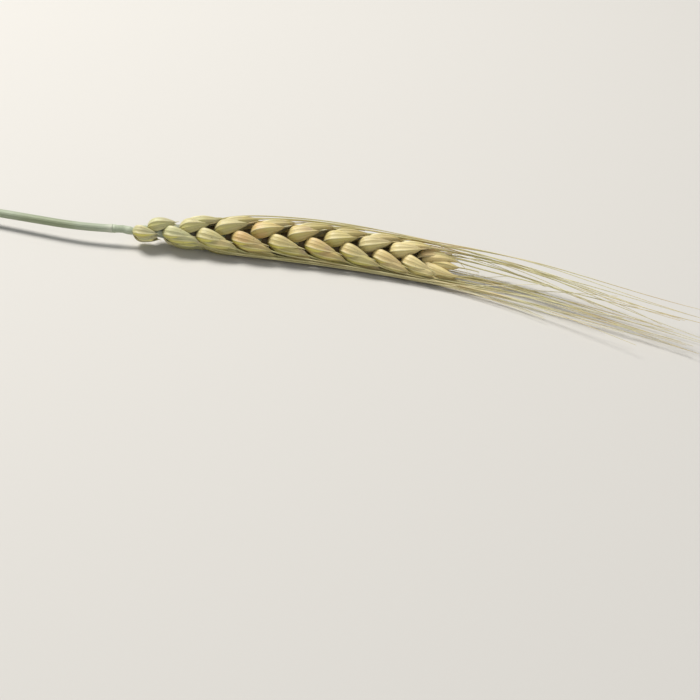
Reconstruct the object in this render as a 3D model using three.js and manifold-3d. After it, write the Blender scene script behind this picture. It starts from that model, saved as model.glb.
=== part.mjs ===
// A bearded wheat ear, picked with a length of its stem and lying on its side.
// Millimetres, +Z up. The cut stem points along -X and the beard along +X; z = 0 is the surface below.
// The ear is laid out straight, with x measured from the collar where the stem meets the ear, y across
// the two ranks of spikelets and z out of its flat side. One map then rolls it over and bends it as it lies.

import * as THREE from "three";
import { mergeVertices } from "three/addons/utils/BufferGeometryUtils.js";
import Module from "manifold-3d";

const wasm = await Module();
wasm.setup();

const { degToRad, lerp, smoothstep, clamp } = THREE.MathUtils;

// Where the collar stands, which puts the origin under the middle of the whole object
const COLLAR_X = -31.5;
const COLLAR_Y = 14.0;

// Picks the small differences between the husks and between the awns
const SEED = 14;

// The stem: a round straw, hollow at its cut end
const STEM_LENGTH = 100;
const STEM_RADIUS_AT_CUT = 1.25;
const STEM_RADIUS_AT_COLLAR = 1.05;
const STEM_BORE_RADIUS = 0.62;
const STEM_BORE_DEPTH = 9;
const STEM_SIDES = 12;
const STEM_STEPS = 24;
const STEM_JOINT_GAP = 0.3;

// How stem and ear lie: plan turns towards -Y, the roll about their own axis and the height over the surface
const STEM_TURN = degToRad(15);
const STEM_END_TURN = degToRad(-4);
const STEM_BOW_START = -30;
const STEM_TURN_FADE = [-20, 4];
const EAR_TURN = degToRad(17);
const EAR_TURN_POWER = 1.9;
const BEARD_TURN = 1.3;
const ROLL = degToRad(41);
const STEM_CLEARANCE = 0.02;
const AXIS_HEIGHT = 4.75;
const AXIS_LEVEL_AT = 14;
const TIP_DROOP = 1.1;
const TIP_DROOP_START = 50;
const PLAN_STEP = 0.5;
const PLAN_REACH = 200;

// The ear: nodes along the rachis, the two lowest with stunted spikelets and the last with the end one
const NODES = 18;
const STUNTED_NODES = 2;
const FIRST_NODE_X = 5.2;
const END_INTERNODE = 3.45;
const MIDDLE_INTERNODE_GAIN = 1.5;
const EAR_LENGTH = 92;

// The rachis with the rachilla stubs that the husks grow from, and its collar on the stem
const RACHIS_SIDES = 6;
const RACHIS_HALF_WIDTH = 0.95;
const RACHIS_HALF_DEPTH = 0.7;
const RACHIS_TAPER = 0.45;
const RACHIS_ZIGZAG = 0.45;
const RACHILLA_WIDTH = 1.0;
const RACHILLA_DEPTH = 0.9;
const STUB_NODES = [1, 3];
const COLLAR_RADIUS = 1.4;
const COLLAR_STOPS = [STEM_JOINT_GAP / 2, 1.2, 2.6];
const COLLAR_FADE = 1.6;

// Spikelets: how far they spread from the rachis, less at the bottom, and their sizes up the ear
const SPIKELET_SPREAD = degToRad(13);
const SPREAD_VARIATION = degToRad(1.5);
const LOW_SPREAD = 0.55;
const LOW_SPREAD_NODES = [1, 6];
const LOWEST_SIZES = [0.72, 0.8, 0.86, 0.93];
const TIP_SHRINK = 0.06;
const TIP_SHRINK_START = 11;

// Husks: a few flat sides, with the ridge of the keel out, and few rings
const HUSK_SIDES = 5;
const HUSK_RINGS = 5;
const KEEL_TURN = Math.PI / 2;
const KEEL_HEIGHT = 1.15;
const WIDEST_PLACE = 0.62;
const WIDTH_ROUNDNESS = 0.8;
const ROOT_SHIFT = 0.25;
const ROOT_SHIFT_END = 0.28;
const LEAN_VARIATION = 2;
const LENGTH_VARIATION = 0.04;

// The husks of one spikelet. belly is the depth of the inner side against the outer one, rise is how far up
// the spikelet a base sits, offset and out how far it sits from the spikelet's middle line, side is towards
// +z or -z of the ear, lean is its tilt to that side, turn is how far its back faces out of the rank, and
// awn is its bristle's length.
const GLUME = { length: 9.6, halfWidth: 2.1, halfDepth: 1.5, belly: 0.75, arch: 0.4 };
const LEMMA = { length: 11.4, halfWidth: 1.85, halfDepth: 1.4, belly: 1.15, arch: 0.5 };
const SPIKELET = [
  { shape: GLUME, size: 1.0, rise: 0.2, offset: 1.7, out: 0.2, side: 1, lean: 8, turn: 25, awn: 0 },
  { shape: GLUME, size: 1.0, rise: 0.2, offset: 1.7, out: 0.2, side: -1, lean: 8, turn: 25, awn: 0 },
  { shape: LEMMA, size: 1.0, rise: 1.5, offset: 1.0, out: 0.9, side: 1, lean: 9, turn: 48, awn: 92 },
  { shape: LEMMA, size: 1.0, rise: 2.2, offset: 1.0, out: 0.9, side: -1, lean: 9, turn: 48, awn: 88 },
  { shape: LEMMA, size: 0.8, rise: 4.2, offset: 0.1, out: 1.0, side: 1, lean: 2, turn: 90, awn: 0 },
];

// Awns: three-sided bristles from the tips of the lemmas, shorter towards the end of the ear
const AWN_SIDES = 3;
const AWN_STEPS = 5;
const AWN_STEP_GROWTH = 1.35;
const AWN_ROOT = 0.8;
const AWN_ROOT_RADIUS = 0.36;
const AWN_TIP_RADIUS = 0.2;
const AWN_SHORTENING = 0.2;
const AWN_LENGTH_VARIATION = 0.12;
const AWN_BEND = 6;
const AWN_DRIFT_POWER = 1.3;
const BEARD_START = 84;
const BEARD_RADIUS = 5.2;
const BEARD_RADIUS_VARIATION = 4.9;
const BEARD_ANGLE_VARIATION = 0.5;

// The awns' lanes along the ear: an oval round the husks, with the older awns further out and those of
// the last spikelets closing in
const LANE_WIDTH = 4.9;
const LANE_DEPTH = 4.3;
const OUTER_LANE = 1.3;
const LANE_CLOSING = 0.22;
const END_CLOSING = 0.8;
const END_NODES = [14, 17];
const LANE_STEP = 9;
const LANE_VARIATION = 3;
const LANE_ANGLES = { upperBack: 20, lowerBack: -32, upperFront: 168, lowerFront: [254, 196] };

// Awns that reach the surface lie along it, each a little higher or lower than the next
const AWN_FLOOR = 0.45;
const AWN_FLOOR_VARIATION = 1.2;
const FLOOR_SOFTNESS = 0.5;

// A repeatable draw from -1 to 1 for repeat i and use k
function vary(i, k) {
  const turned = Math.sin(i * 12.9898 + k * 78.233 + SEED) * 43758.5453;
  return 2 * (turned - Math.floor(turned)) - 1;
}

// The plan heading at distance x from the collar: the stem's slight bow, then the ear's own turn, which
// goes on a little way into the beard
function heading(x) {
  const bow = lerp(STEM_END_TURN, STEM_TURN, smoothstep(x, -STEM_LENGTH, STEM_BOW_START));
  const stem = bow * (1 - smoothstep(x, ...STEM_TURN_FADE));
  const ear = EAR_TURN * Math.pow(clamp(x / EAR_LENGTH, 0, BEARD_TURN), EAR_TURN_POWER);
  return stem + ear;
}

// The height of the axis: up from the cut end to the belly of the ear, then drooping a little to its tip
function height(x) {
  const climb = clamp((x + STEM_LENGTH) / (STEM_LENGTH + AXIS_LEVEL_AT), 0, 1);
  const eased = Math.min(1, climb * (1.3 - 0.3 * climb * climb));
  const droop = TIP_DROOP * smoothstep(x, TIP_DROOP_START, EAR_LENGTH);
  return lerp(STEM_RADIUS_AT_CUT + STEM_CLEARANCE, AXIS_HEIGHT, eased) - droop;
}

// The plan line, stepped out from the collar
function tracePlan(reach) {
  const points = [[COLLAR_X, COLLAR_Y]];
  const step = Math.sign(reach) * PLAN_STEP;
  for (let x = 0; Math.abs(x) < Math.abs(reach); x += step) {
    const [px, py] = points[points.length - 1];
    const angle = heading(x + step / 2);
    points.push([px + step * Math.cos(angle), py - step * Math.sin(angle)]);
  }
  return points;
}
const PLAN_AHEAD = tracePlan(PLAN_REACH);
const PLAN_BEHIND = tracePlan(-STEM_LENGTH - 5);

// The point and directions of the axis at distance x from the collar
function axisAt(x) {
  const line = x < 0 ? PLAN_BEHIND : PLAN_AHEAD;
  const place = Math.abs(x) / PLAN_STEP;
  const i = Math.min(Math.floor(place), line.length - 2);
  const px = lerp(line[i][0], line[i + 1][0], place - i);
  const py = lerp(line[i][1], line[i + 1][1], place - i);
  const slope = (height(x + PLAN_STEP) - height(x - PLAN_STEP)) / (2 * PLAN_STEP);
  const along = new THREE.Vector3(Math.cos(heading(x)), -Math.sin(heading(x)), slope).normalize();
  const left = new THREE.Vector3(0, 0, 1).cross(along).normalize();
  const up = along.clone().cross(left);
  return {
    point: new THREE.Vector3(px, py, height(x)),
    across: left.clone().multiplyScalar(Math.cos(ROLL)).addScaledVector(up, Math.sin(ROLL)),
    face: up.multiplyScalar(Math.cos(ROLL)).addScaledVector(left, -Math.sin(ROLL)),
  };
}

// Straight-ear coordinates to the part's own frame
function lay(p) {
  const { point, across, face } = axisAt(p.x);
  return point.addScaledVector(across, p.y).addScaledVector(face, p.z);
}

// The same, for what may reach the surface: heights under the floor are eased up on to it
function layOnFloor(p, floor) {
  const q = lay(p);
  const over = q.z - floor;
  q.z = floor + (over + Math.sqrt(over * over + FLOOR_SOFTNESS)) / 2;
  return q;
}

// A closed three.js geometry with every vertex sent through a map, as a solid
function solidFrom(geometry, map) {
  geometry.deleteAttribute("normal");
  geometry.deleteAttribute("uv");
  const merged = mergeVertices(geometry, 1e-5);
  const position = merged.getAttribute("position");
  const p = new THREE.Vector3();
  for (let i = 0; i < position.count; i++) {
    const q = map(p.fromBufferAttribute(position, i));
    position.setXYZ(i, q.x, q.y, q.z);
  }
  const mesh = new wasm.Mesh({
    numProp: 3,
    vertProperties: position.array,
    triVerts: new Uint32Array(merged.index.array),
  });
  return new wasm.Manifold(mesh);
}

// Each node's distance from the collar: the internodes are longest in the middle of the ear
const NODE_X = [FIRST_NODE_X];
for (let k = 0; k < NODES - 1; k++) {
  const middle = Math.sin((Math.PI * (k + 1.5)) / NODES);
  NODE_X.push(NODE_X[k] + END_INTERNODE + MIDDLE_INTERNODE_GAIN * middle);
}

// The rank that node k's spikelet belongs to, as the sign of y
function rankOf(k) {
  return k % 2 ? 1 : -1;
}

// Spikelets grow from stunted at the bottom to full size, and get a little smaller towards the tip
function spikeletSize(k) {
  return (LOWEST_SIZES[k] ?? 1) * (1 - TIP_SHRINK * smoothstep(k, TIP_SHRINK_START, NODES - 1));
}

// The husks of one spikelet; the stunted ones at the bottom have only their two glumes
function spikeletHusks(k) {
  return k < STUNTED_NODES ? SPIKELET.filter((husk) => husk.shape === GLUME) : SPIKELET;
}

// The width of a husk along its length u, 1 at its widest: blunt at the base and drawn out to the tip
function huskWidth(u) {
  return Math.pow(Math.max(0, Math.sin(Math.PI * Math.pow(u, WIDEST_PLACE))), WIDTH_ROUNDNESS);
}

// The directions of spikelet k: up it, out of its rank, and its flat direction.
// The end one is a quarter turn round.
function spikeletFrame(k) {
  if (k === NODES - 1) {
    return {
      up: new THREE.Vector3(1, 0, 0),
      out: new THREE.Vector3(0, 0, 1),
      flat: new THREE.Vector3(0, 1, 0),
    };
  }
  const rank = rankOf(k);
  const share = lerp(LOW_SPREAD, 1, smoothstep(k, ...LOW_SPREAD_NODES));
  const spread = SPIKELET_SPREAD * share + SPREAD_VARIATION * vary(k, 1);
  return {
    up: new THREE.Vector3(Math.cos(spread), rank * Math.sin(spread), 0),
    out: new THREE.Vector3(-Math.sin(spread), rank * Math.cos(spread), 0),
    flat: new THREE.Vector3(0, 0, 1),
  };
}

// The base, direction, back and length of one husk of spikelet k, in straight-ear coordinates
function placeHusk(k, husk, index) {
  const last = k === NODES - 1;
  const size = spikeletSize(k);
  const { up, out, flat } = spikeletFrame(k);
  flat.multiplyScalar(husk.side);
  const lean = degToRad(husk.lean + LEAN_VARIATION * vary(k, 10 + index));
  const turn = degToRad(husk.turn);
  const axis = up.clone().multiplyScalar(Math.cos(lean)).addScaledVector(flat, Math.sin(lean));
  const back = flat.clone().multiplyScalar(Math.cos(turn)).addScaledVector(out, Math.sin(turn));
  back.addScaledVector(axis, -back.dot(axis)).normalize();
  return {
    axis,
    back,
    base: new THREE.Vector3(NODE_X[k], last ? 0 : rankOf(k) * RACHIS_ZIGZAG, 0)
      .addScaledVector(up, husk.rise * size)
      .addScaledVector(out, last ? 0 : husk.out * size),
    shift: flat.multiplyScalar(husk.offset * size),
    length: husk.shape.length * husk.size * size * (1 + LENGTH_VARIATION * vary(k, 20 + index)),
    arch: husk.shape.arch * husk.size * size,
  };
}

// The middle line of a husk at u: it leaves the rachilla, stands off it within a short way, then arches
function huskLine({ base, axis, back, length, shift, arch }, u) {
  const off = 1 - Math.pow(1 - Math.min(1, u / ROOT_SHIFT_END), 2);
  return base
    .clone()
    .addScaledVector(axis, u * length)
    .addScaledVector(shift, lerp(ROOT_SHIFT, 1, off))
    .addScaledVector(back, 4 * arch * u * (1 - u));
}

// One husk: a sphere drawn out to a boat with a ridged back
function huskSolid(k, husk, index) {
  const place = placeHusk(k, husk, index);
  const wide = place.back.clone().cross(place.axis);
  const scale = husk.size * spikeletSize(k);
  const { halfWidth, halfDepth, belly } = husk.shape;
  return solidFrom(new THREE.SphereGeometry(1, HUSK_SIDES, HUSK_RINGS, KEEL_TURN), (p) => {
    const u = (1 - p.y) / 2;
    const ring = Math.hypot(p.x, p.z);
    const girth = ring > 1e-4 ? (huskWidth(u) * scale) / ring : 0;
    const depth = halfDepth * (p.z > 0 ? KEEL_HEIGHT : belly);
    return lay(
      huskLine(place, u)
        .addScaledVector(wide, p.x * girth * halfWidth)
        .addScaledVector(place.back, p.z * girth * depth),
    );
  });
}

// The direction of an awn's lane, seen along the ear: those under it are pushed out to either side
function laneAngle(k, husk, root) {
  const order = Math.floor(k / 2);
  let angle = husk.side > 0 ? LANE_ANGLES.upperBack : LANE_ANGLES.lowerBack;
  if (root.y < 0) angle = husk.side > 0 ? LANE_ANGLES.upperFront : LANE_ANGLES.lowerFront[order % 2];
  return degToRad(angle + LANE_STEP * ((order % 3) - 1) + LANE_VARIATION * vary(k, 40));
}

// The path of an awn at v from 0 at its root inside the husk to 1 at its tip, in straight-ear coordinates.
// It bends out on to a lane of its own along the ear, and past the ear's end it drifts to its place there.
function awnPath(k, husk, index, v) {
  const root = huskLine(placeHusk(k, husk, index), AWN_ROOT);
  const shortening = AWN_SHORTENING * smoothstep(k, 8, NODES);
  const reach = husk.awn * (1 - shortening) * (1 + AWN_LENGTH_VARIATION * vary(k, 30 + index));
  const s = Math.pow(v, AWN_STEP_GROWTH) * reach;
  const angle = laneAngle(k, husk, root);
  const closing = 1 - END_CLOSING * smoothstep(k, ...END_NODES);
  const radius = (OUTER_LANE - LANE_CLOSING * (k / NODES)) * closing;
  const bend = 1 - Math.exp(-s / AWN_BEND);
  const clear = Math.max(0, BEARD_START - root.x);
  const past = reach > clear ? clamp((s - clear) / (reach - clear), 0, 1) : 0;
  const drift = Math.pow(past, AWN_DRIFT_POWER);
  const endAngle = angle + BEARD_ANGLE_VARIATION * vary(k, 60 + index);
  const endRadius = BEARD_RADIUS + BEARD_RADIUS_VARIATION * vary(k, 70 + index);
  const laneY = lerp(root.y, LANE_WIDTH * radius * Math.cos(angle), bend);
  const laneZ = lerp(root.z, LANE_DEPTH * radius * Math.sin(angle), bend);
  return new THREE.Vector3(
    root.x + s,
    lerp(laneY, endRadius * Math.cos(endAngle), drift),
    lerp(laneZ, endRadius * Math.sin(endAngle), drift),
  );
}

// One awn: a bristle along its path
function awnSolid(k, husk, index) {
  const floor = AWN_FLOOR + AWN_FLOOR_VARIATION * Math.abs(vary(k, 80 + index));
  return solidFrom(new THREE.CylinderGeometry(1, 1, 1, AWN_SIDES, AWN_STEPS), (p) => {
    const v = p.y + 0.5;
    const radius = lerp(AWN_ROOT_RADIUS, AWN_TIP_RADIUS, v);
    const here = layOnFloor(awnPath(k, husk, index, v), floor);
    const next = layOnFloor(awnPath(k, husk, index, v + 0.01), floor);
    const along = next.sub(here).normalize();
    const wide = new THREE.Vector3(0, 1, 0).addScaledVector(along, -along.y).normalize();
    const deep = wide.clone().cross(along);
    return here.addScaledVector(wide, p.x * radius).addScaledVector(deep, p.z * radius);
  });
}

// The rachis: a stalk from the collar to the last node, stepping towards each spikelet in turn
function rachisSolid() {
  const stops = [...COLLAR_STOPS, ...NODE_X];
  const last = stops.length - 1;
  return solidFrom(new THREE.CylinderGeometry(1, 1, 1, RACHIS_SIDES, last), (p) => {
    const stop = Math.round((0.5 - p.y) * last);
    const k = stop - COLLAR_STOPS.length;
    const x = stops[stop];
    const step = k < 0 ? 0 : rankOf(k) * RACHIS_ZIGZAG;
    const taper = 1 - RACHIS_TAPER * (x / EAR_LENGTH);
    const collar = (COLLAR_RADIUS - RACHIS_HALF_WIDTH) * Math.exp(-((x / COLLAR_FADE) ** 2));
    const stubs = smoothstep(k, ...STUB_NODES) * (1 - END_CLOSING * smoothstep(k, ...END_NODES));
    const width = RACHIS_HALF_WIDTH * taper + collar + RACHILLA_WIDTH * stubs;
    const depth = RACHIS_HALF_DEPTH * taper + collar + RACHILLA_DEPTH * stubs;
    return lay(new THREE.Vector3(x, p.x * width + step, p.z * depth));
  });
}

// The stem, with the straw's bore open at the cut end
function stemSolid() {
  const rod = solidFrom(new THREE.CylinderGeometry(1, 1, 1, STEM_SIDES, STEM_STEPS), (p) => {
    const v = 0.5 - p.y;
    const x = lerp(-STEM_LENGTH, -STEM_JOINT_GAP / 2, v);
    const radius = lerp(STEM_RADIUS_AT_CUT, STEM_RADIUS_AT_COLLAR, v);
    return lay(new THREE.Vector3(x, p.x * radius, p.z * radius));
  });
  const bore = solidFrom(new THREE.CylinderGeometry(1, 1, 1, STEM_SIDES, 2), (p) => {
    const x = lerp(-STEM_LENGTH - 1, -STEM_LENGTH + STEM_BORE_DEPTH, 0.5 - p.y);
    return lay(new THREE.Vector3(x, p.x * STEM_BORE_RADIUS, p.z * STEM_BORE_RADIUS));
  });
  return rod.subtract(bore);
}

// The ear: rachis, husks and awns fused, with the husks under it pressed flat on the surface
function headSolid() {
  const pieces = [rachisSolid()];
  for (let k = 0; k < NODES; k++) {
    spikeletHusks(k).forEach((husk, index) => {
      pieces.push(huskSolid(k, husk, index));
      if (husk.awn) pieces.push(awnSolid(k, husk, index));
    });
  }
  const surface = solidFrom(new THREE.BoxGeometry(400, 200, 20), (p) => p.clone().setZ(p.z - 10));
  return wasm.Manifold.union(pieces).subtract(surface);
}

// A solid as a named mesh
function meshOf(name, solid, material) {
  const { vertProperties, triVerts } = solid.getMesh();
  const geometry = new THREE.BufferGeometry();
  geometry.setAttribute("position", new THREE.BufferAttribute(vertProperties, 3));
  geometry.setIndex(new THREE.BufferAttribute(triVerts, 1));
  geometry.computeVertexNormals();
  const mesh = new THREE.Mesh(geometry, material);
  mesh.name = name;
  return mesh;
}

const straw = new THREE.MeshStandardMaterial({ color: 0xb9a56b, roughness: 0.75, metalness: 0 });
const greenStem = new THREE.MeshStandardMaterial({ color: 0x9aa57c, roughness: 0.6, metalness: 0 });

const wheatEar = new THREE.Group();
wheatEar.add(meshOf("stem", stemSolid(), greenStem));
wheatEar.add(meshOf("head", headSolid(), straw));

export default wheatEar;
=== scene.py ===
"""A bearded wheat ear with a length of its stem, lying on its side on a pale floor.

The ear is worked out straight, in millimetres: x runs from the collar to the tip, y across the two ranks
of spikelets and z out of its flat side. LyingLine then rolls it over and bends it as it lies. Every surface
is a function of two parameters on a numpy grid, and the small differences between repeats come from draw().
"""

from __future__ import annotations

import logging
import math
from dataclasses import dataclass, field
from enum import Enum, IntEnum
from typing import Sequence, Union

import bpy
import numpy as np
from mathutils import Matrix, Vector

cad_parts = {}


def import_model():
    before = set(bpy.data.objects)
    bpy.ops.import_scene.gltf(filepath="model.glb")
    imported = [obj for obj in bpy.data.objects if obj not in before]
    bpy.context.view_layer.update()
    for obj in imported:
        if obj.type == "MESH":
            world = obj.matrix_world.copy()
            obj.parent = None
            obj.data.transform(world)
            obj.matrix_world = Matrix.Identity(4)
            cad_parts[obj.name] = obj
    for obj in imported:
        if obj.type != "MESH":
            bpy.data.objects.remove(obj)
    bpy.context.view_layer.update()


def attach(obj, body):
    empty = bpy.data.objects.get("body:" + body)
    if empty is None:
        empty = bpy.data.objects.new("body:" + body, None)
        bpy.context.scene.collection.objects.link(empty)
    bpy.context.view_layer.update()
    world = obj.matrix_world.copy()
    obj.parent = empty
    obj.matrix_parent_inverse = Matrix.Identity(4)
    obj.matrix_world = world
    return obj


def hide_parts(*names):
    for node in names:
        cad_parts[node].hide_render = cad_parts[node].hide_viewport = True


LOG = logging.getLogger("wheat_ear")
BODY = "root"
MM = 0.001
SEED = 14
REPEAT_STEP = 12.9898
USE_STEP = 78.233
SINE_GAIN = 43758.5453
NUMBERS_PER_NODE = 7
UV_NAME = "Husk"
Z_AXIS = np.array([0.0, 0.0, 1.0])

Array = np.ndarray
Colour = tuple[float, float, float, float]
Range = tuple[float, float]
Band = tuple[float, float, float, float]
Numbers = Union[float, np.ndarray]
Socket = bpy.types.NodeSocket
Input = Union[float, Colour, Socket]


class Use(IntEnum):
    """What a draw is for. A draw for one husk among those of its spikelet adds the husk's number in it."""

    SPREAD = 1
    LEAN = 10
    LENGTH = 20
    AWN_LENGTH = 30
    BROKEN_LENGTH = 35
    LANE = 40
    BEARD_ANGLE = 60
    BEARD_RADIUS = 70
    AWN_FLOOR = 80
    AWN_PHASE = 90
    TONE = 101
    GREEN = 102
    BLUSH = 103
    MAUVE = 104
    PALEA_TONE = 105
    AWN_TONE = 106
    STRIP = 107
    AWN_SWING = 110
    HAIR_TURN = 120
    HAIR_ROOT = 121
    HAIR_AHEAD = 122
    HAIR_LENGTH = 123
    TURN = 130
    RIPPLE = 131
    WRAP = 132


def draw(repeat: int, use: int) -> float:
    """A repeatable draw from -1 to 1.

    Args:
        repeat: The number of the repeat, such as the spikelet's.
        use: The number of what the draw is for.

    Returns:
        Twice the fraction of a large multiple of a sine, less one.
    """
    turned = math.sin(repeat * REPEAT_STEP + use * USE_STEP + SEED) * SINE_GAIN
    return 2 * (turned - math.floor(turned)) - 1


def draws(repeats: Array, use: int) -> Array:
    """The same draw for an array of repeats."""
    turned = np.sin(repeats * REPEAT_STEP + use * USE_STEP + SEED) * SINE_GAIN
    return 2 * (turned - np.floor(turned)) - 1


def lerp(start: Numbers, end: Numbers, share: Numbers) -> Numbers:
    """The value a share of the way from start to end."""
    return start + (end - start) * share


def smoothstep(x: Numbers, low: float, high: float) -> Numbers:
    """0 below low, 1 above high and a smooth cubic between."""
    share = np.clip((x - low) / (high - low), 0, 1)
    return share * share * (3 - 2 * share)


def hump(x: Numbers, middle: float, width: float) -> Numbers:
    """1 at the middle, falling off to both sides as exp(-((x - middle) / width)^2)."""
    return np.exp(-(((x - middle) / width) ** 2))


def around(sides: int) -> Array:
    """The angles of that many points, evenly spaced once round."""
    return np.linspace(0, 2 * np.pi, sides, endpoint=False)


def unit(vectors: Array) -> Array:
    """Vectors scaled to length 1, along the last axis."""
    return vectors / np.linalg.norm(vectors, axis=-1, keepdims=True)


def linear(red: int, green: int, blue: int) -> Colour:
    """A screen colour, 0 to 255, as the linear values that shaders take, by the sRGB curve."""
    values = [((c / 255 + 0.055) / 1.055) ** 2.4 if c > 10 else c / 3294.6 for c in (red, green, blue)]
    return (values[0], values[1], values[2], 1.0)


@dataclass
class Surface:
    """Faces over an array of points, in millimetres, with a UV at each face corner.

    Attributes:
        points: The points, n by 3.
        corners: The point number of every face corner, face after face.
        sizes: The number of corners of each face.
        uv: The UV of every face corner.
        values: Named numbers for each point, which the materials read.
    """

    points: Array
    corners: Array
    sizes: Array
    uv: Array
    values: dict[str, Array] = field(default_factory=dict)

    def with_values(self, **values: float | Array) -> "Surface":
        """Adds named numbers to every point.

        Args:
            **values: For each name, one number or one for each point.

        Returns:
            The surface itself.
        """
        for name, value in values.items():
            self.values[name] = np.broadcast_to(np.asarray(value, float), len(self.points)).copy()
        return self

    @staticmethod
    def joined(parts: Sequence["Surface"]) -> "Surface":
        """Several surfaces as one, which keeps them as loose shells.

        Args:
            parts: The surfaces, all with the same names in their values.

        Returns:
            One surface.
        """
        starts = np.cumsum([0] + [len(part.points) for part in parts[:-1]])
        names = parts[0].values.keys()
        return Surface(
            points=np.concatenate([part.points for part in parts]),
            corners=np.concatenate([part.corners + start for part, start in zip(parts, starts)]),
            sizes=np.concatenate([part.sizes for part in parts]),
            uv=np.concatenate([part.uv for part in parts]),
            values={name: np.concatenate([part.values[name] for part in parts]) for name in names},
        )

    def to_object(self, name: str, material: bpy.types.Material, crease: float = 50.0) -> bpy.types.Object:
        """Puts the surface into a Blender mesh object in metres.

        Args:
            name: The object's name.
            material: Its material.
            crease: The angle in degrees past which an edge is shaded sharp.

        Returns:
            The new object, at the origin.
        """
        mesh = bpy.data.meshes.new(name)
        mesh.vertices.add(len(self.points))
        mesh.vertices.foreach_set("co", (self.points * MM).astype(np.float32).ravel())
        mesh.loops.add(len(self.corners))
        mesh.loops.foreach_set("vertex_index", self.corners.astype(np.int32))
        mesh.polygons.add(len(self.sizes))
        starts = np.concatenate([[0], np.cumsum(self.sizes)[:-1]])
        mesh.polygons.foreach_set("loop_start", starts.astype(np.int32))
        layer = mesh.uv_layers.new(name=UV_NAME)
        layer.data.foreach_set("uv", self.uv.astype(np.float32).ravel())
        for key, value in self.values.items():
            attribute = mesh.attributes.new(key, "FLOAT", "POINT")
            attribute.data.foreach_set("value", value.astype(np.float32))
        mesh.update(calc_edges=True)
        mesh.polygons.foreach_set("use_smooth", np.ones(len(self.sizes), bool))
        mesh.set_sharp_from_angle(angle=math.radians(crease))
        mesh.materials.append(material)
        piece = bpy.data.objects.new(name, mesh)
        bpy.context.scene.collection.objects.link(piece)
        return piece


def tube(points: Array) -> Surface:
    """A closed tube through rings of points, with a flat cap on each end.

    Args:
        points: Rings by points round each ring by 3. The rings turn to the left as seen from their end.

    Returns:
        The closed surface, with u along it and v round it.
    """
    rings, sides = points.shape[:2]
    i, j = np.mgrid[0 : rings - 1, 0:sides]
    rows = np.stack([i, i + 1, i + 1, i], -1).reshape(-1, 4)
    columns = np.stack([j, j, j + 1, j + 1], -1).reshape(-1, 4)
    first = np.arange(sides)
    last = (rings - 1) * sides + first[::-1]
    wall_uv = np.stack([rows / (rings - 1), columns / sides], -1).reshape(-1, 2)
    cap_uv = np.concatenate([np.stack([np.full(sides, end), first / sides], -1) for end in (0.0, 1.0)])
    return Surface(
        points=points.reshape(-1, 3),
        corners=np.concatenate([(rows * sides + columns % sides).ravel(), first, last]),
        sizes=np.concatenate([np.full(len(rows), 4), [sides, sides]]),
        uv=np.concatenate([wall_uv, cap_uv]),
    )


def leaf(outer: Array, inner: Array) -> Surface:
    """A thin closed sheet between two grids of points, joined by a rim round their edges.

    Args:
        outer: Rows by columns by 3, the face that looks out.
        inner: The same grid for the other face.

    Returns:
        The closed surface, with u along the rows and v across them.
    """
    rows, columns = outer.shape[:2]
    count = rows * columns
    i, j = np.mgrid[0 : rows - 1, 0 : columns - 1]
    corner = i * columns + j
    front = np.stack([corner, corner + columns, corner + columns + 1, corner + 1], -1).reshape(-1, 4)
    up = np.arange(rows) * columns
    along = np.arange(columns - 1)
    sides = [up[:-1], (rows - 1) * columns + along, (up + columns - 1)[:0:-1], columns - 1 - along]
    border = np.concatenate(sides)
    after = np.roll(border, -1)
    rim = np.stack([after, border, border + count, after + count], -1)
    corners = np.concatenate([front, front[:, ::-1] + count, rim]).ravel()
    place = corners % count
    return Surface(
        points=np.concatenate([outer.reshape(-1, 3), inner.reshape(-1, 3)]),
        corners=corners,
        sizes=np.full(len(corners) // 4, 4),
        uv=np.stack([place // columns / (rows - 1), place % columns / (columns - 1)], -1),
    )


def rings_along(line: Array, back: Array, width: Array, depth: Array, angles: Array) -> Array:
    """Rings of points round a line: an ellipse across it at each of its points.

    Args:
        line: The line's points, n by 3.
        back: The direction in which each ring's angle 0 lies, n by 3 or 3.
        width: The half size across back, for each point or each point and angle.
        depth: The half size along back, in the same form.
        angles: The angles round the line.

    Returns:
        Points, n by angles by 3.
    """
    along = unit(np.gradient(line, axis=0))
    back = np.broadcast_to(back, line.shape)
    back = unit(back - along * np.sum(back * along, -1, keepdims=True))
    wide = np.cross(back, along)
    width = np.broadcast_to(np.asarray(width).reshape(len(line), -1), (len(line), len(angles)))
    depth = np.broadcast_to(np.asarray(depth).reshape(len(line), -1), (len(line), len(angles)))
    across = wide[:, None] * (np.sin(angles) * width)[..., None]
    out = back[:, None] * (np.cos(angles) * depth)[..., None]
    return line[:, None] + across + out


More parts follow.
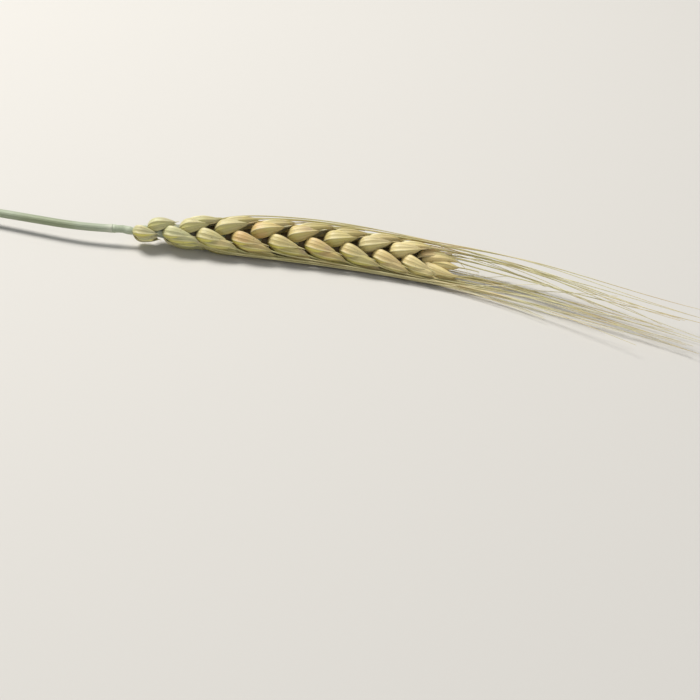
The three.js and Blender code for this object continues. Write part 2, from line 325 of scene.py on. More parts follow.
@dataclass(frozen=True)
class LyingLine:
    """How stem and ear lie: a plan heading, a height and a roll at each distance x from the collar."""

    collar_x: float = -31.5
    collar_y: float = 14.0
    stem_length: float = 100.0
    stem_turn: float = math.radians(15)
    stem_end_turn: float = math.radians(-4)
    stem_bow_start: float = -30.0
    stem_turn_fade: Range = (-20.0, 4.0)
    ear_length: float = 92.0
    ear_turn: float = math.radians(17)
    ear_turn_power: float = 1.9
    beard_turn: float = 1.3
    roll: float = math.radians(41)
    cut_height: float = 1.27
    axis_height: float = 4.75
    level_at: float = 14.0
    climb_ease: float = 0.3
    droop: float = 1.1
    droop_start: float = 50.0
    step: float = 0.5
    steps: int = 400

    def heading(self, x: Array) -> Array:
        """The turn towards -Y at x: the stem's slight bow, then the ear's own turn.

        Args:
            x: Distances from the collar.

        Returns:
            The turns in radians.
        """
        bow = lerp(self.stem_end_turn, self.stem_turn, smoothstep(x, -self.stem_length, self.stem_bow_start))
        stem = bow * (1 - smoothstep(x, *self.stem_turn_fade))
        return stem + self.ear_turn * np.clip(x / self.ear_length, 0, self.beard_turn) ** self.ear_turn_power

    def height(self, x: Array) -> Array:
        """The height of the axis: up from the cut end to the belly of the ear, then drooping to its tip.

        Args:
            x: Distances from the collar.

        Returns:
            The heights over the floor.
        """
        climb = np.clip((x + self.stem_length) / (self.stem_length + self.level_at), 0, 1)
        eased = np.minimum(1, climb * (1 + self.climb_ease - self.climb_ease * climb * climb))
        droop = self.droop * smoothstep(x, self.droop_start, self.ear_length)
        return lerp(self.cut_height, self.axis_height, eased) - droop

    def plan(self, x: Array) -> tuple[Array, Array]:
        """The axis's place on the floor, summed in short steps from the collar both ways.

        Args:
            x: Distances from the collar.

        Returns:
            The place along X and the place along Y.
        """
        middles = (np.arange(-self.steps, self.steps) + 0.5) * self.step
        knots = np.arange(-self.steps, self.steps + 1) * self.step
        turns = self.heading(middles)
        along = np.concatenate([[0], np.cumsum(np.cos(turns))]) * self.step
        aside = np.concatenate([[0], np.cumsum(np.sin(turns))]) * self.step
        px = self.collar_x + np.interp(x, knots, along - along[self.steps])
        py = self.collar_y - np.interp(x, knots, aside - aside[self.steps])
        return px, py

    def lay(self, points: Array) -> Array:
        """Straight-ear points to the part's own frame.

        Args:
            points: Any array of points, in millimetres.

        Returns:
            The same points as they lie.
        """
        x = points[..., 0]
        turn = self.heading(x)
        px, py = self.plan(x)
        slope = (self.height(x + self.step) - self.height(x - self.step)) / (2 * self.step)
        along = unit(np.stack([np.cos(turn), -np.sin(turn), slope], -1))
        left = unit(np.cross(Z_AXIS, along))
        up = np.cross(along, left)
        across = left * math.cos(self.roll) + up * math.sin(self.roll)
        face = up * math.cos(self.roll) - left * math.sin(self.roll)
        place = np.stack([px, py, self.height(x)], -1)
        return place + across * points[..., 1:2] + face * points[..., 2:3]

    def settle(self, points: Array, floor: float | Array, softness: float) -> Array:
        """Lays points and eases what would be under a height up on to it.

        Args:
            points: Straight-ear points.
            floor: The height that they stay over.
            softness: How gently they meet it, in square millimetres.

        Returns:
            The points as they lie.
        """
        laid = self.lay(points)
        over = laid[..., 2] - floor
        laid[..., 2] = floor + (over + np.sqrt(over * over + softness)) / 2
        return laid


class Kind(Enum):
    """The kinds of husk in a spikelet."""

    GLUME = "glume"
    LEMMA = "lemma"


@dataclass(frozen=True)
class HuskForm:
    """The form of a kind of husk.

    Attributes:
        length: Its length in millimetres.
        half_width: Its half width at the widest.
        half_depth: How far its back stands out at the widest.
        belly: How deep its belly is against its back.
        arch: How far its back arches.
        wrap: How far the shell reaches round each side from the keel, in degrees.
        shoulder: How much shorter it is at its margins than at its keel.
        sharpness: The keel's sharpness, 2 for an ellipse and less for a roof with a sharper ridge.
        ribs: The angles of the nerves from the keel, in degrees.
    """

    length: float
    half_width: float
    half_depth: float
    belly: float
    arch: float
    wrap: float
    shoulder: float
    sharpness: float
    ribs: tuple[float, ...]


FORMS = {
    Kind.GLUME: HuskForm(
        length=9.6,
        half_width=2.1,
        half_depth=1.5,
        belly=0.75,
        arch=0.4,
        wrap=112.0,
        shoulder=0.13,
        sharpness=1.55,
        ribs=(24.0, 44.0, 64.0, 84.0),
    ),
    Kind.LEMMA: HuskForm(
        length=11.4,
        half_width=1.85,
        half_depth=1.4,
        belly=1.15,
        arch=0.5,
        wrap=138.0,
        shoulder=0.05,
        sharpness=1.75,
        ribs=(30.0, 60.0, 95.0),
    ),
}


@dataclass(frozen=True)
class HuskPlan:
    """Where one husk sits in its spikelet.

    Attributes:
        kind: Which husk it is.
        size: Its size against a full one.
        rise: How far up the spikelet its base sits.
        offset: How far its base sits from the spikelet's middle line, to its own side.
        out: How far its base sits out of the rank.
        side: 1 or -1, towards +z or -z of the ear.
        lean: Its tilt to that side in degrees.
        turn: How far its back faces out of the rank in degrees.
        awn: The length of its awn, or 0.
    """

    kind: Kind
    size: float
    rise: float
    offset: float
    out: float
    side: int
    lean: float
    turn: float
    awn: float


# Each line gives a husk's kind, size, rise, offset, out, side, lean, turn and awn
SPIKELET = (
    HuskPlan(Kind.GLUME, 1.0, 0.2, 1.7, 0.2, 1, 8, 25, 0),
    HuskPlan(Kind.GLUME, 1.0, 0.2, 1.7, 0.2, -1, 8, 25, 0),
    HuskPlan(Kind.LEMMA, 1.0, 1.5, 1.0, 0.9, 1, 9, 48, 92),
    HuskPlan(Kind.LEMMA, 1.0, 2.2, 1.0, 0.9, -1, 9, 48, 88),
    HuskPlan(Kind.LEMMA, 0.8, 4.2, 0.1, 1.0, 1, 2, 90, 74),
)
SIDE_FLORETS = (2, 3)
MIDDLE_FLORET = 4
DRAWN_OUT = 0.62
FULLNESS = 0.8
CLEAR_AT = 0.28
CLEAR_START = 0.25


def husk_width(u: Array) -> Array:
    """The width of a husk at u from base to tip, 1 at its widest: sin(pi u^DRAWN_OUT)^FULLNESS."""
    return np.maximum(0, np.sin(np.pi * np.clip(u, 0, 1) ** DRAWN_OUT)) ** FULLNESS


@dataclass(frozen=True)
class Husk:
    """One husk in its place in the straight ear.

    Attributes:
        node: The number of its spikelet, from the bottom.
        index: Its number in the spikelet.
        plan: Where it sits.
        base: The point that it grows from.
        axis: The direction from its base to its tip.
        back: The direction that its keel faces.
        shift: How far it stands off the rachilla.
        length: Its length.
        scale: Its size against a full one.
    """

    node: int
    index: int
    plan: HuskPlan
    base: Array
    axis: Array
    back: Array
    shift: Array
    length: float
    scale: float

    @property
    def number(self) -> int:
        """A number of its own for this husk's draws."""
        return self.node * NUMBERS_PER_NODE + self.index

    @property
    def is_lemma(self) -> bool:
        """Whether this is a lemma and no glume."""
        return self.plan.kind is Kind.LEMMA

    def line(self, u: Array) -> Array:
        """The middle line: it leaves the rachilla, stands clear of it within a short way, then arches by
        4 arch u (1 - u) to its back.

        Args:
            u: Places from base, 0, to tip, 1.

        Returns:
            Points in straight-ear coordinates.
        """
        u = np.asarray(u, float)[..., None]
        clear = lerp(CLEAR_START, 1, 1 - (1 - np.minimum(1, u / CLEAR_AT)) ** 2)
        arch = FORMS[self.plan.kind].arch * self.scale
        straight = self.base + self.axis * u * self.length
        return straight + self.shift * clear + self.back * 4 * arch * u * (1 - u)

    def mixed(self, use: int) -> float:
        """A draw of its own for this husk, from 0 to 1."""
        return 0.5 + 0.5 * draw(self.number, use)


@dataclass(frozen=True)
class Ear:
    """The growth of the ear: its nodes, the spikelets on them and the husks in each."""

    nodes: int = 18
    stunted: int = 2
    first_node: float = 5.2
    end_internode: float = 3.45
    middle_gain: float = 1.5
    zigzag: float = 0.45
    spread: float = 13.0
    spread_variation: float = 1.5
    low_spread: float = 0.55
    low_spread_nodes: Range = (1.0, 6.0)
    lowest_sizes: tuple[float, ...] = (0.72, 0.8, 0.86, 0.93)
    tip_shrink: float = 0.06
    tip_shrink_start: float = 11.0
    stunted_seat: float = 0.3
    lean_variation: float = 2.0
    turn_variation: float = 5.0
    keel_down: float = 15.0
    keel_down_at_end: float = 52.0
    keel_down_nodes: Range = (3.0, 14.0)
    length_variation: float = 0.04

    def node_x(self) -> Array:
        """The nodes' distances from the collar.

        The internodes are longest in the middle of the ear, by middle_gain times a half sine over the ear.

        Returns:
            One distance for each node.
        """
        k = np.arange(self.nodes - 1)
        gaps = self.end_internode + self.middle_gain * np.sin(np.pi * (k + 1.5) / self.nodes)
        return self.first_node + np.concatenate([[0], np.cumsum(gaps)])

    def rank(self, node: int) -> int:
        """The rank of a node's spikelet, as the sign of y."""
        return 1 if node % 2 else -1

    def is_last(self, node: int) -> bool:
        """Whether this is the end spikelet, which is a quarter turn round."""
        return node == self.nodes - 1

    def size(self, node: int) -> float:
        """A spikelet's size: stunted at the bottom, full, then a little smaller towards the tip.

        Args:
            node: The spikelet's number.

        Returns:
            The factor on every size in it.
        """
        lowest = self.lowest_sizes[node] if node < len(self.lowest_sizes) else 1.0
        shrink = self.tip_shrink * float(smoothstep(node, self.tip_shrink_start, self.nodes - 1))
        return lowest * (1 - shrink)

    def frame(self, node: int) -> tuple[Array, Array, Array]:
        """The directions of a spikelet: up it, out of its rank, and its flat direction.

        Args:
            node: The spikelet's number.

        Returns:
            Three unit vectors.
        """
        if self.is_last(node):
            return np.array([1.0, 0, 0]), Z_AXIS, np.array([0.0, 1, 0])
        rank = self.rank(node)
        spread = self.spread * lerp(self.low_spread, 1, float(smoothstep(node, *self.low_spread_nodes)))
        spread = math.radians(spread + self.spread_variation * draw(node, Use.SPREAD))
        up = np.array([math.cos(spread), rank * math.sin(spread), 0])
        out = np.array([-math.sin(spread), rank * math.cos(spread), 0])
        return up, out, Z_AXIS

    def husk(self, node: int, index: int) -> Husk:
        """Places one husk.

        Args:
            node: The spikelet's number.
            index: The husk's number in SPIKELET.

        Returns:
            The husk in its place.
        """
        plan = SPIKELET[index]
        last = self.is_last(node)
        size = self.size(node)
        up, out, flat = self.frame(node)
        flat = flat * plan.side
        lean = math.radians(plan.lean + self.lean_variation * draw(node, Use.LEAN + index))
        turn = plan.turn + self.keel_turn(node, plan) + self.turn_variation * draw(node, Use.TURN + index)
        turn = math.radians(turn)
        seat = self.stunted_seat if node < self.stunted and plan.kind is Kind.LEMMA else 1.0
        length = FORMS[plan.kind].length * plan.size * size
        axis = up * math.cos(lean) + flat * math.sin(lean)
        back = flat * math.cos(turn) + out * math.sin(turn)
        back = unit(back - axis * (back @ axis))
        root = np.array([self.node_x()[node], 0 if last else self.rank(node) * self.zigzag, 0])
        return Husk(
            node=node,
            index=index,
            plan=plan,
            base=root + up * plan.rise * size * seat + out * (0 if last else plan.out * size * seat),
            axis=axis,
            back=back,
            shift=flat * plan.offset * size,
            length=length * (1 + self.length_variation * draw(node, Use.LENGTH + index)),
            scale=plan.size * size,
        )

    def keel_turn(self, node: int, plan: HuskPlan) -> float:
        """How much further out a glume's keel faces, in degrees: all keels lean over to one side of the ear.

        Args:
            node: The spikelet's number.
            plan: The plan of the husk.

        Returns:
            The turn that is added to the plan's own.
        """
        if plan.kind is Kind.LEMMA or self.is_last(node):
            return 0.0
        if plan.side * self.rank(node) < 0:
            return self.keel_down
        return -lerp(self.keel_down, self.keel_down_at_end, float(smoothstep(node, *self.keel_down_nodes)))

    def husks(self, kind: Kind) -> list[Husk]:
        """Every husk of a kind. The stunted spikelets at the bottom have their glumes and one floret.

        Args:
            kind: The kind of husk.

        Returns:
            The husks, spikelet after spikelet.
        """
        return [
            self.husk(node, index)
            for node in range(self.nodes)
            for index, plan in enumerate(SPIKELET)
            if plan.kind is kind and (node >= self.stunted or index not in SIDE_FLORETS)
        ]

    def awned(self) -> list[Husk]:
        """The lemmas that bear an awn."""
        return [husk for husk in self.husks(Kind.LEMMA) if husk.node >= self.stunted]


@dataclass(frozen=True)
class AwnPath:
    """The way of an awn: out on to a lane of its own along the ear, then to its place in the beard."""

    nodes: int
    root: float = 0.8
    growth: float = 1.35
    shortening: float = 0.2
    shortening_start: float = 8.0
    length_variation: float = 0.12
    bend: float = 6.0
    drift_power: float = 1.3
    beard_start: float = 84.0
    beard_radius: float = 5.2
    beard_radius_variation: float = 4.9
    beard_angle_variation: float = 0.5
    middle_angle_variation: float = 2.4
    lane_width: float = 4.9
    lane_depth: float = 4.3
    outer_lane: float = 1.3
    lane_closing: float = 0.22
    end_closing: float = 0.8
    end_nodes: Range = (14.0, 17.0)
    lane_step: float = 9.0
    lane_variation: float = 3.0
    middle_back: float = -6.0
    middle_front: float = 182.0
    upper_back: float = 20.0
    lower_back: float = -32.0
    upper_front: float = 168.0
    lower_front: Range = (254.0, 196.0)
    floor: float = 0.45
    floor_variation: float = 1.2
    broken_nodes: tuple[int, ...] = (9, 13, 15, 16, 17)
    broken_length: float = 9.0
    broken_variation: float = 0.4

    def is_broken(self, husk: Husk) -> bool:
        """Whether this awn has snapped off near its root."""
        return husk.index == MIDDLE_FLORET and husk.node in self.broken_nodes

    def lane(self, husk: Husk, in_front: bool) -> float:
        """The direction of an awn's lane, seen along the ear, in radians.

        Each place in a spikelet has its own direction, which steps round in threes up each rank.

        Args:
            husk: The lemma that the awn grows from.
            in_front: Whether its root is on the side of the rank at -y.

        Returns:
            The angle from y towards z.
        """
        order = husk.node // 2
        if husk.index == MIDDLE_FLORET:
            angle = self.middle_front if in_front else self.middle_back
        elif in_front:
            angle = self.upper_front if husk.plan.side > 0 else self.lower_front[order % 2]
        else:
            angle = self.upper_back if husk.plan.side > 0 else self.lower_back
        angle += self.lane_step * (order % 3 - 1) + self.lane_variation * draw(husk.node, Use.LANE)
        return math.radians(angle)

    def reach(self, husk: Husk) -> float:
        """The length that the awn grew to: its plan's, less towards the tip of the ear, and varied.

        Args:
            husk: The lemma that the awn grows from.

        Returns:
            The length in millimetres.
        """
        shortening = self.shortening * float(smoothstep(husk.node, self.shortening_start, self.nodes))
        variation = self.length_variation * draw(husk.node, Use.AWN_LENGTH + husk.index)
        return husk.plan.awn * (1 - shortening) * (1 + variation)

    def left(self, husk: Husk) -> float:
        """The length that is left of the awn.

        Args:
            husk: The lemma that the awn grows from.

        Returns:
            The length in millimetres.
        """
        if self.is_broken(husk):
            return self.broken_length * (1 + self.broken_variation * draw(husk.node, Use.BROKEN_LENGTH))
        return self.reach(husk)

    def points(self, husk: Husk, distance: Array) -> Array:
        """Points of the awn in straight-ear coordinates.

        Args:
            husk: The lemma that the awn grows from.
            distance: Distances from its root along the ear, in millimetres.

        Returns:
            Their places: the root's own place blends into the lane's by 1 - exp(-distance / bend), and past
            the end of the ear the lane's place blends into the beard's.
        """
        root = husk.line(np.array(self.root))
        reach = self.reach(husk)
        angle = self.lane(husk, bool(root[1] < 0))
        radius = self.outer_lane - self.lane_closing * husk.node / self.nodes
        radius *= 1 - self.end_closing * float(smoothstep(husk.node, *self.end_nodes))
        bend = 1 - np.exp(-np.maximum(distance, 0) / self.bend)
        clear = max(0.0, self.beard_start - root[0])
        past = np.clip((distance - clear) / (reach - clear), 0, None) if reach > clear else 0 * distance
        drift = np.minimum(past, 1) ** self.drift_power
        wander = self.middle_angle_variation if husk.index == MIDDLE_FLORET else self.beard_angle_variation
        end_angle = angle + wander * draw(husk.node, Use.BEARD_ANGLE + husk.index)
        variation = self.beard_radius_variation * draw(husk.node, Use.BEARD_RADIUS + husk.index)
        end_radius = self.beard_radius + variation
        y = lerp(root[1], self.lane_width * radius * math.cos(angle), bend)
        z = lerp(root[2], self.lane_depth * radius * math.sin(angle), bend)
        y = lerp(y, end_radius * math.cos(end_angle), drift)
        z = lerp(z, end_radius * math.sin(end_angle), drift)
        return np.stack([root[0] + distance, y, z], -1)

    def floor_of(self, husk: Husk) -> float:
        """The height that this awn keeps over the surface."""
        return self.floor + self.floor_variation * abs(draw(husk.node, Use.AWN_FLOOR + husk.index))


class Shader:
    """A node material under construction, with short calls for the nodes that the finishes use."""

    def __init__(self, name: str) -> None:
        """Starts a material with its Principled shader.

        Args:
            name: The material's name.
        """
        self.material = bpy.data.materials.new(name)
        self.material.use_nodes = True
        self.tree = self.material.node_tree
        self.surface = self.tree.nodes["Principled BSDF"]

    def set(self, **inputs: float | Colour | Socket) -> "Shader":
        """Sets or links inputs of the Principled shader, with _ for a space in their names.

        Args:
            **inputs: A value or a socket for each input.

        Returns:
            The shader itself.
        """
        for name, value in inputs.items():
            self.put(self.surface.inputs[name.replace("_", " ")], value)
        return self

    def put(self, socket: Socket, value: Input) -> None:
        """Links a socket to another or sets its own value.

        Args:
            socket: The socket that is fed.
            value: A value, or the socket that feeds it.
        """
        if isinstance(value, Socket):
            self.tree.links.new(value, socket)
        else:
            socket.default_value = value

    def node(
        self, kind: str, inputs: dict[str | int, Input] | None = None, **settings: str
    ) -> bpy.types.Node:
        """Adds a node.

        Args:
            kind: Its Blender type.
            inputs: Values or sockets by input name or number.
            **settings: Properties of the node.

        Returns:
            The node.
        """
        node = self.tree.nodes.new(kind)
        for name, value in settings.items():
            setattr(node, name, value)
        for key, value in (inputs or {}).items():
            self.put(node.inputs[key], value)
        return node

    def value(self, name: str) -> Socket:
        """A named number of the mesh's points."""
        return self.node("ShaderNodeAttribute", attribute_name=name).outputs["Fac"]

    def uv(self) -> tuple[Socket, Socket]:
        """The UV's two numbers, along and across.

        Returns:
            The two sockets.
        """
        source = self.node("ShaderNodeUVMap", uv_map=UV_NAME).outputs["UV"]
        parts = self.node("ShaderNodeSeparateXYZ", {"Vector": source})
        return parts.outputs["X"], parts.outputs["Y"]

    def place(self) -> Socket:
        """The Object coordinates."""
        return self.node("ShaderNodeTexCoord").outputs["Object"]

    def maths(self, operation: str, a: Input, b: Input = 0.0) -> Socket:
        """One sum of two numbers or sockets."""
        return self.node("ShaderNodeMath", {0: a, 1: b}, operation=operation).outputs[0]

    def times(self, *factors: Input) -> Socket:
        """The product of numbers or sockets.

        Args:
            *factors: Two or more numbers or sockets.

        Returns:
            Their product.
        """
        product = factors[0]
        for factor in factors[1:]:
            product = self.maths("MULTIPLY", product, factor)
        return product

    def band(self, x: Socket, band: Band) -> Socket:
        """A smooth band: from 0 at its first number to 1 at its second, and from 1 at its third to 0."""
        return self.times(self.ease(x, band[0], band[1]), self.ease(x, band[3], band[2]))

    def streaks(self, along: float, across: float, third: Input = 0.0) -> Socket:
        """The UV drawn out into streaks: u and v times the two scales, with a third number."""
        u, v = self.uv()
        return self.vector(self.times(u, along), self.times(v, across), third)

    def ease(self, x: Socket, low: float, high: float, start: float = 0.0, end: float = 1.0) -> Socket:
        """A smooth step from start to end as x goes from low to high."""
        inputs = {"Value": x, "From Min": low, "From Max": high, "To Min": start, "To Max": end}
        return self.node("ShaderNodeMapRange", inputs, interpolation_type="SMOOTHSTEP").outputs["Result"]

    def noise(self, vector: Socket, scale: float, detail: float = 2.0) -> Socket:
        """Noise from 0 to 1."""
        inputs = {"Vector": vector, "Scale": scale, "Detail": detail}
        return self.node("ShaderNodeTexNoise", inputs).outputs["Fac"]

    def vector(self, x: Input, y: Input, z: Input) -> Socket:
        """A vector of three numbers or sockets."""
        return self.node("ShaderNodeCombineXYZ", {"X": x, "Y": y, "Z": z}).outputs[0]

    def mix(self, share: Input, a: Input, b: Input, blend: str = "MIX") -> Socket:
        """A mix of two colours.

        Args:
            share: How much of the second there is.
            a: The first colour.
            b: The second colour.
            blend: How the second is laid over the first.

        Returns:
            The mixed colour.
        """
        node = self.node("ShaderNodeMix", data_type="RGBA", blend_type=blend)
        self.put(node.inputs[0], share)
        self.put(node.inputs[6], a)
        self.put(node.inputs[7], b)
        return node.outputs[2]

    def ramp(self, share: Socket, stops: Sequence[tuple[float, Colour]]) -> Socket:
        """A colour that runs through stops as share goes from 0 to 1.

        Args:
            share: The place on the ramp, 0 to 1.
            stops: The places and colours, in order.

        Returns:
            The colour.
        """
        node = self.node("ShaderNodeValToRGB", {"Fac": share})
        elements = node.color_ramp.elements
        while len(elements) < len(stops):
            elements.new(0.5)
        for element, (position, colour) in zip(elements, stops):
            element.position = position
            element.color = colour
        return node.outputs["Color"]

    def bump(self, height: Socket, distance: float, strength: float, normal: Socket | None = None) -> Socket:
        """A bumped normal from a height.

        Args:
            height: The height, 0 to 1.
            distance: What a height of 1 stands for, in metres.
            strength: How strongly it shows.
            normal: The normal that it is added to.

        Returns:
            The bumped normal.
        """
        inputs = {"Height": height, "Distance": distance, "Strength": strength}
        node = self.node("ShaderNodeBump", inputs)
        if normal is not None:
            self.put(node.inputs["Normal"], normal)
        return node.outputs["Normal"]


@dataclass(frozen=True)
class HuskFinish:
    """Dry papery husk: straw to tan, olive on its downward flank as painted shade, with a bright strip by
    its pale keel.

    The mesh gives each point a shaded value t from -1 to 1, with the keel at 0 and the flank that faces down
    as the ear lies above 0.
    """

    name: str
    grey_straw: Colour
    straw: Colour
    tan: Colour
    # olive: partly the husk's own green, partly painted shade on the flank that faces down
    olive_shade: Colour
    strip: Colour
    blush: Colour
    mauve: Colour
    margin: Colour
    keel: Colour
    bloom: Colour = linear(198, 202, 158)
    cream: Colour = linear(230, 210, 152)
    speck: Colour = linear(126, 104, 66)
    # painted shadow multiplied in towards each husk's base
    base_shadow: Colour = (0.62, 0.6, 0.42, 1.0)
    nerve_shade: Colour = (0.9, 0.9, 0.864, 1.0)
    nerves: float = 26.0
    nerve_wander: float = 0.9
    wander_scale: float = 2.0
    blotch_scale: float = 260.0
    patch_scale: float = 120.0
    speck_scale: float = 1500.0
    speck_sizes: Range = (0.7, 0.78)
    grain_scale: float = 3.0
    margin_line: Range = (0.72, 0.96)
    keel_line: Range = (0.07, 0.015)
    line_strength: float = 0.75
    nerve_line: Range = (0.1, 0.95)
    nerve_strength: float = 0.85
    base_reach: float = 0.16
    strip_across: Band = (0.015, 0.07, 0.2, 0.42)
    strip_along: Band = (0.0, 0.2, 0.5, 0.95)
    blush_along: Band = (0.12, 0.35, 0.5, 0.8)
    blush_patches: Range = (0.42, 0.62)
    olive_across: Range = (-0.15, 0.35)
    olive_along: Range = (0.9, 0.1)
    olive_patches: Range = (0.2, 0.7)
    mauve_across: Range = (0.3, -0.4)
    mauve_along: Range = (0.3, 0.8)
    mauve_blotches: Range = (0.42, 0.6)
    tone_blotches: float = 0.6
    roughness: float = 0.46

    def make(self) -> bpy.types.Material:
        """Builds the material.

        Returns:
            The material.
        """
        s = Shader(self.name)
        along, _ = s.uv()
        place = s.place()
        shaded = s.value("shaded")
        edge = s.maths("ABSOLUTE", shaded)
        blotch = s.noise(place, self.blotch_scale, detail=3.0)
        patch = s.noise(place, self.patch_scale)
        colour = s.mix(s.value("cream"), self.body(s, blotch), self.cream)
        colour = s.mix(s.value("pale"), colour, self.bloom)
        # painted shade: olive on the flank that faces down, with the husk's own green towards the base and
        # in patches
        colour = s.mix(self.flank(s, shaded, along, patch), colour, self.olive_shade)
        colour = self.stained(s, colour, along, shaded, patch, blotch)
        strip = s.times(s.band(shaded, self.strip_across), s.band(along, self.strip_along), s.value("strip"))
        colour = s.mix(strip, colour, self.strip)
        colour = s.mix(s.ease(edge, *self.margin_line, end=self.line_strength), colour, self.margin)
        colour = s.mix(s.ease(edge, *self.keel_line, end=self.line_strength), colour, self.keel)
        nerve = self.nerve(s, edge)
        colour = s.mix(s.times(nerve, self.nerve_strength), colour, self.nerve_shade, "MULTIPLY")
        # painted shadow: darker and browner towards each husk's base, where it sits among the others
        colour = s.mix(s.ease(along, self.base_reach, 0.0, end=0.55), colour, self.base_shadow, "MULTIPLY")
        speck = s.ease(s.noise(place, self.speck_scale, detail=1.0), *self.speck_sizes, end=0.4)
        colour = s.mix(speck, colour, self.speck)
        grain = s.noise(s.streaks(along=14.0, across=90.0, third=s.value("tone")), self.grain_scale)
        ridges = s.bump(nerve, distance=0.0001, strength=0.6)
        relief = s.bump(grain, distance=0.00004, strength=0.4, normal=ridges)
        s.set(Base_Color=colour, Roughness=self.roughness, Specular_IOR_Level=0.5, Normal=relief)
        s.set(Subsurface_Weight=0.1, Subsurface_Radius=(1.0, 0.75, 0.35), Subsurface_Scale=0.0005)
        return s.material

    def body(self, s: Shader, blotch: Socket) -> Socket:
        """The ground colour: grey straw to tan by the husk's own tone, with blotches.

        Args:
            s: The material under construction.
            blotch: The fine noise.

        Returns:
            The colour.
        """
        uneven = s.times(s.maths("SUBTRACT", blotch, 0.5), self.tone_blotches)
        tone = s.maths("ADD", s.value("tone"), uneven)
        return s.ramp(tone, [(0.1, self.grey_straw), (0.5, self.straw), (0.9, self.tan)])

    def flank(self, s: Shader, shaded: Socket, along: Socket, patch: Socket) -> Socket:
        """How olive a point is: most on the flank that faces down, as painted shade, and more towards the
        base and in patches, by the husk's own green tint.

        Args:
            s: The material under construction.
            shaded: The place across the husk.
            along: The place along it.
            patch: The broad noise.

        Returns:
            The share of olive.
        """
        # painted shade: the flank that faces down takes the olive
        side = s.ease(shaded, *self.olive_across, start=0.12)
        low = s.ease(along, *self.olive_along, start=0.35)
        return s.times(side, low, s.ease(patch, *self.olive_patches, start=0.55), s.value("green"))

    def stained(
        self, s: Shader, colour: Socket, along: Socket, shaded: Socket, patch: Socket, blotch: Socket
    ) -> Socket:
        """Adds the orange blush in the middle and the mauve grey towards the tip on the bright flank.

        Args:
            s: The material under construction.
            colour: The colour so far.
            along: The place along the husk.
            shaded: The place across it.
            patch: The broad noise, which breaks up the blush.
            blotch: The fine noise, which breaks up the grey.

        Returns:
            The stained colour.
        """
        middle = s.band(along, self.blush_along)
        spot = s.times(middle, s.ease(patch, *self.blush_patches), s.value("blush"))
        colour = s.mix(spot, colour, self.blush)
        bright = s.ease(shaded, *self.mauve_across, start=0.3)
        upper = s.ease(along, *self.mauve_along)
        grey = s.times(bright, upper, s.ease(blotch, *self.mauve_blotches), s.value("mauve"))
        return s.mix(grey, colour, self.mauve)

    def nerve(self, s: Shader, edge: Socket) -> Socket:
        """The nerves: lines along the husk, where the sine of nerves |t| and a slow wander is high.

        Args:
            s: The material under construction.
            edge: The place across the husk from its keel, |t|.

        Returns:
            How much of a nerve there is.
        """
        slow = s.noise(s.streaks(along=3.0, across=12.0, third=s.value("tone")), self.wander_scale)
        phase = s.maths("ADD", s.times(edge, self.nerves), s.times(slow, self.nerve_wander))
        return s.ease(s.maths("SINE", phase), *self.nerve_line)


@dataclass(frozen=True)
class BristleFinish:
    """Awns: stiff and slightly glossy, greener at the root and paler towards the tip."""

    name: str = "awn_bristle"
    root: Colour = linear(188, 184, 128)
    middle: Colour = linear(202, 194, 140)
    tip: Colour = linear(218, 210, 166)
    warm: Colour = linear(202, 176, 120)
    fine_shade: Colour = (0.78, 0.78, 0.74, 1.0)
    middle_at: float = 0.35
    patch_scale: float = 60.0
    patch_line: Range = (0.35, 0.65)
    grain_scale: float = 900.0
    grain_line: Range = (0.3, 0.7)
    grain_strength: float = 0.35
    roughness: float = 0.42

    def make(self) -> bpy.types.Material:
        """Builds the material.

        Returns:
            The material.
        """
        s = Shader(self.name)
        along, _ = s.uv()
        colour = s.ramp(along, [(0.0, self.root), (self.middle_at, self.middle), (1.0, self.tip)])
        patch = s.ease(s.noise(s.place(), self.patch_scale), *self.patch_line)
        colour = s.mix(s.times(s.value("tone"), patch), colour, self.warm)
        fine = s.noise(s.place(), self.grain_scale)
        shade = s.ease(fine, *self.grain_line, end=self.grain_strength)
        colour = s.mix(shade, colour, self.fine_shade, "MULTIPLY")
        s.set(Base_Color=colour, Roughness=self.roughness, Specular_IOR_Level=0.5)
        s.set(Normal=s.bump(fine, distance=0.00002, strength=0.3))
        return s.material


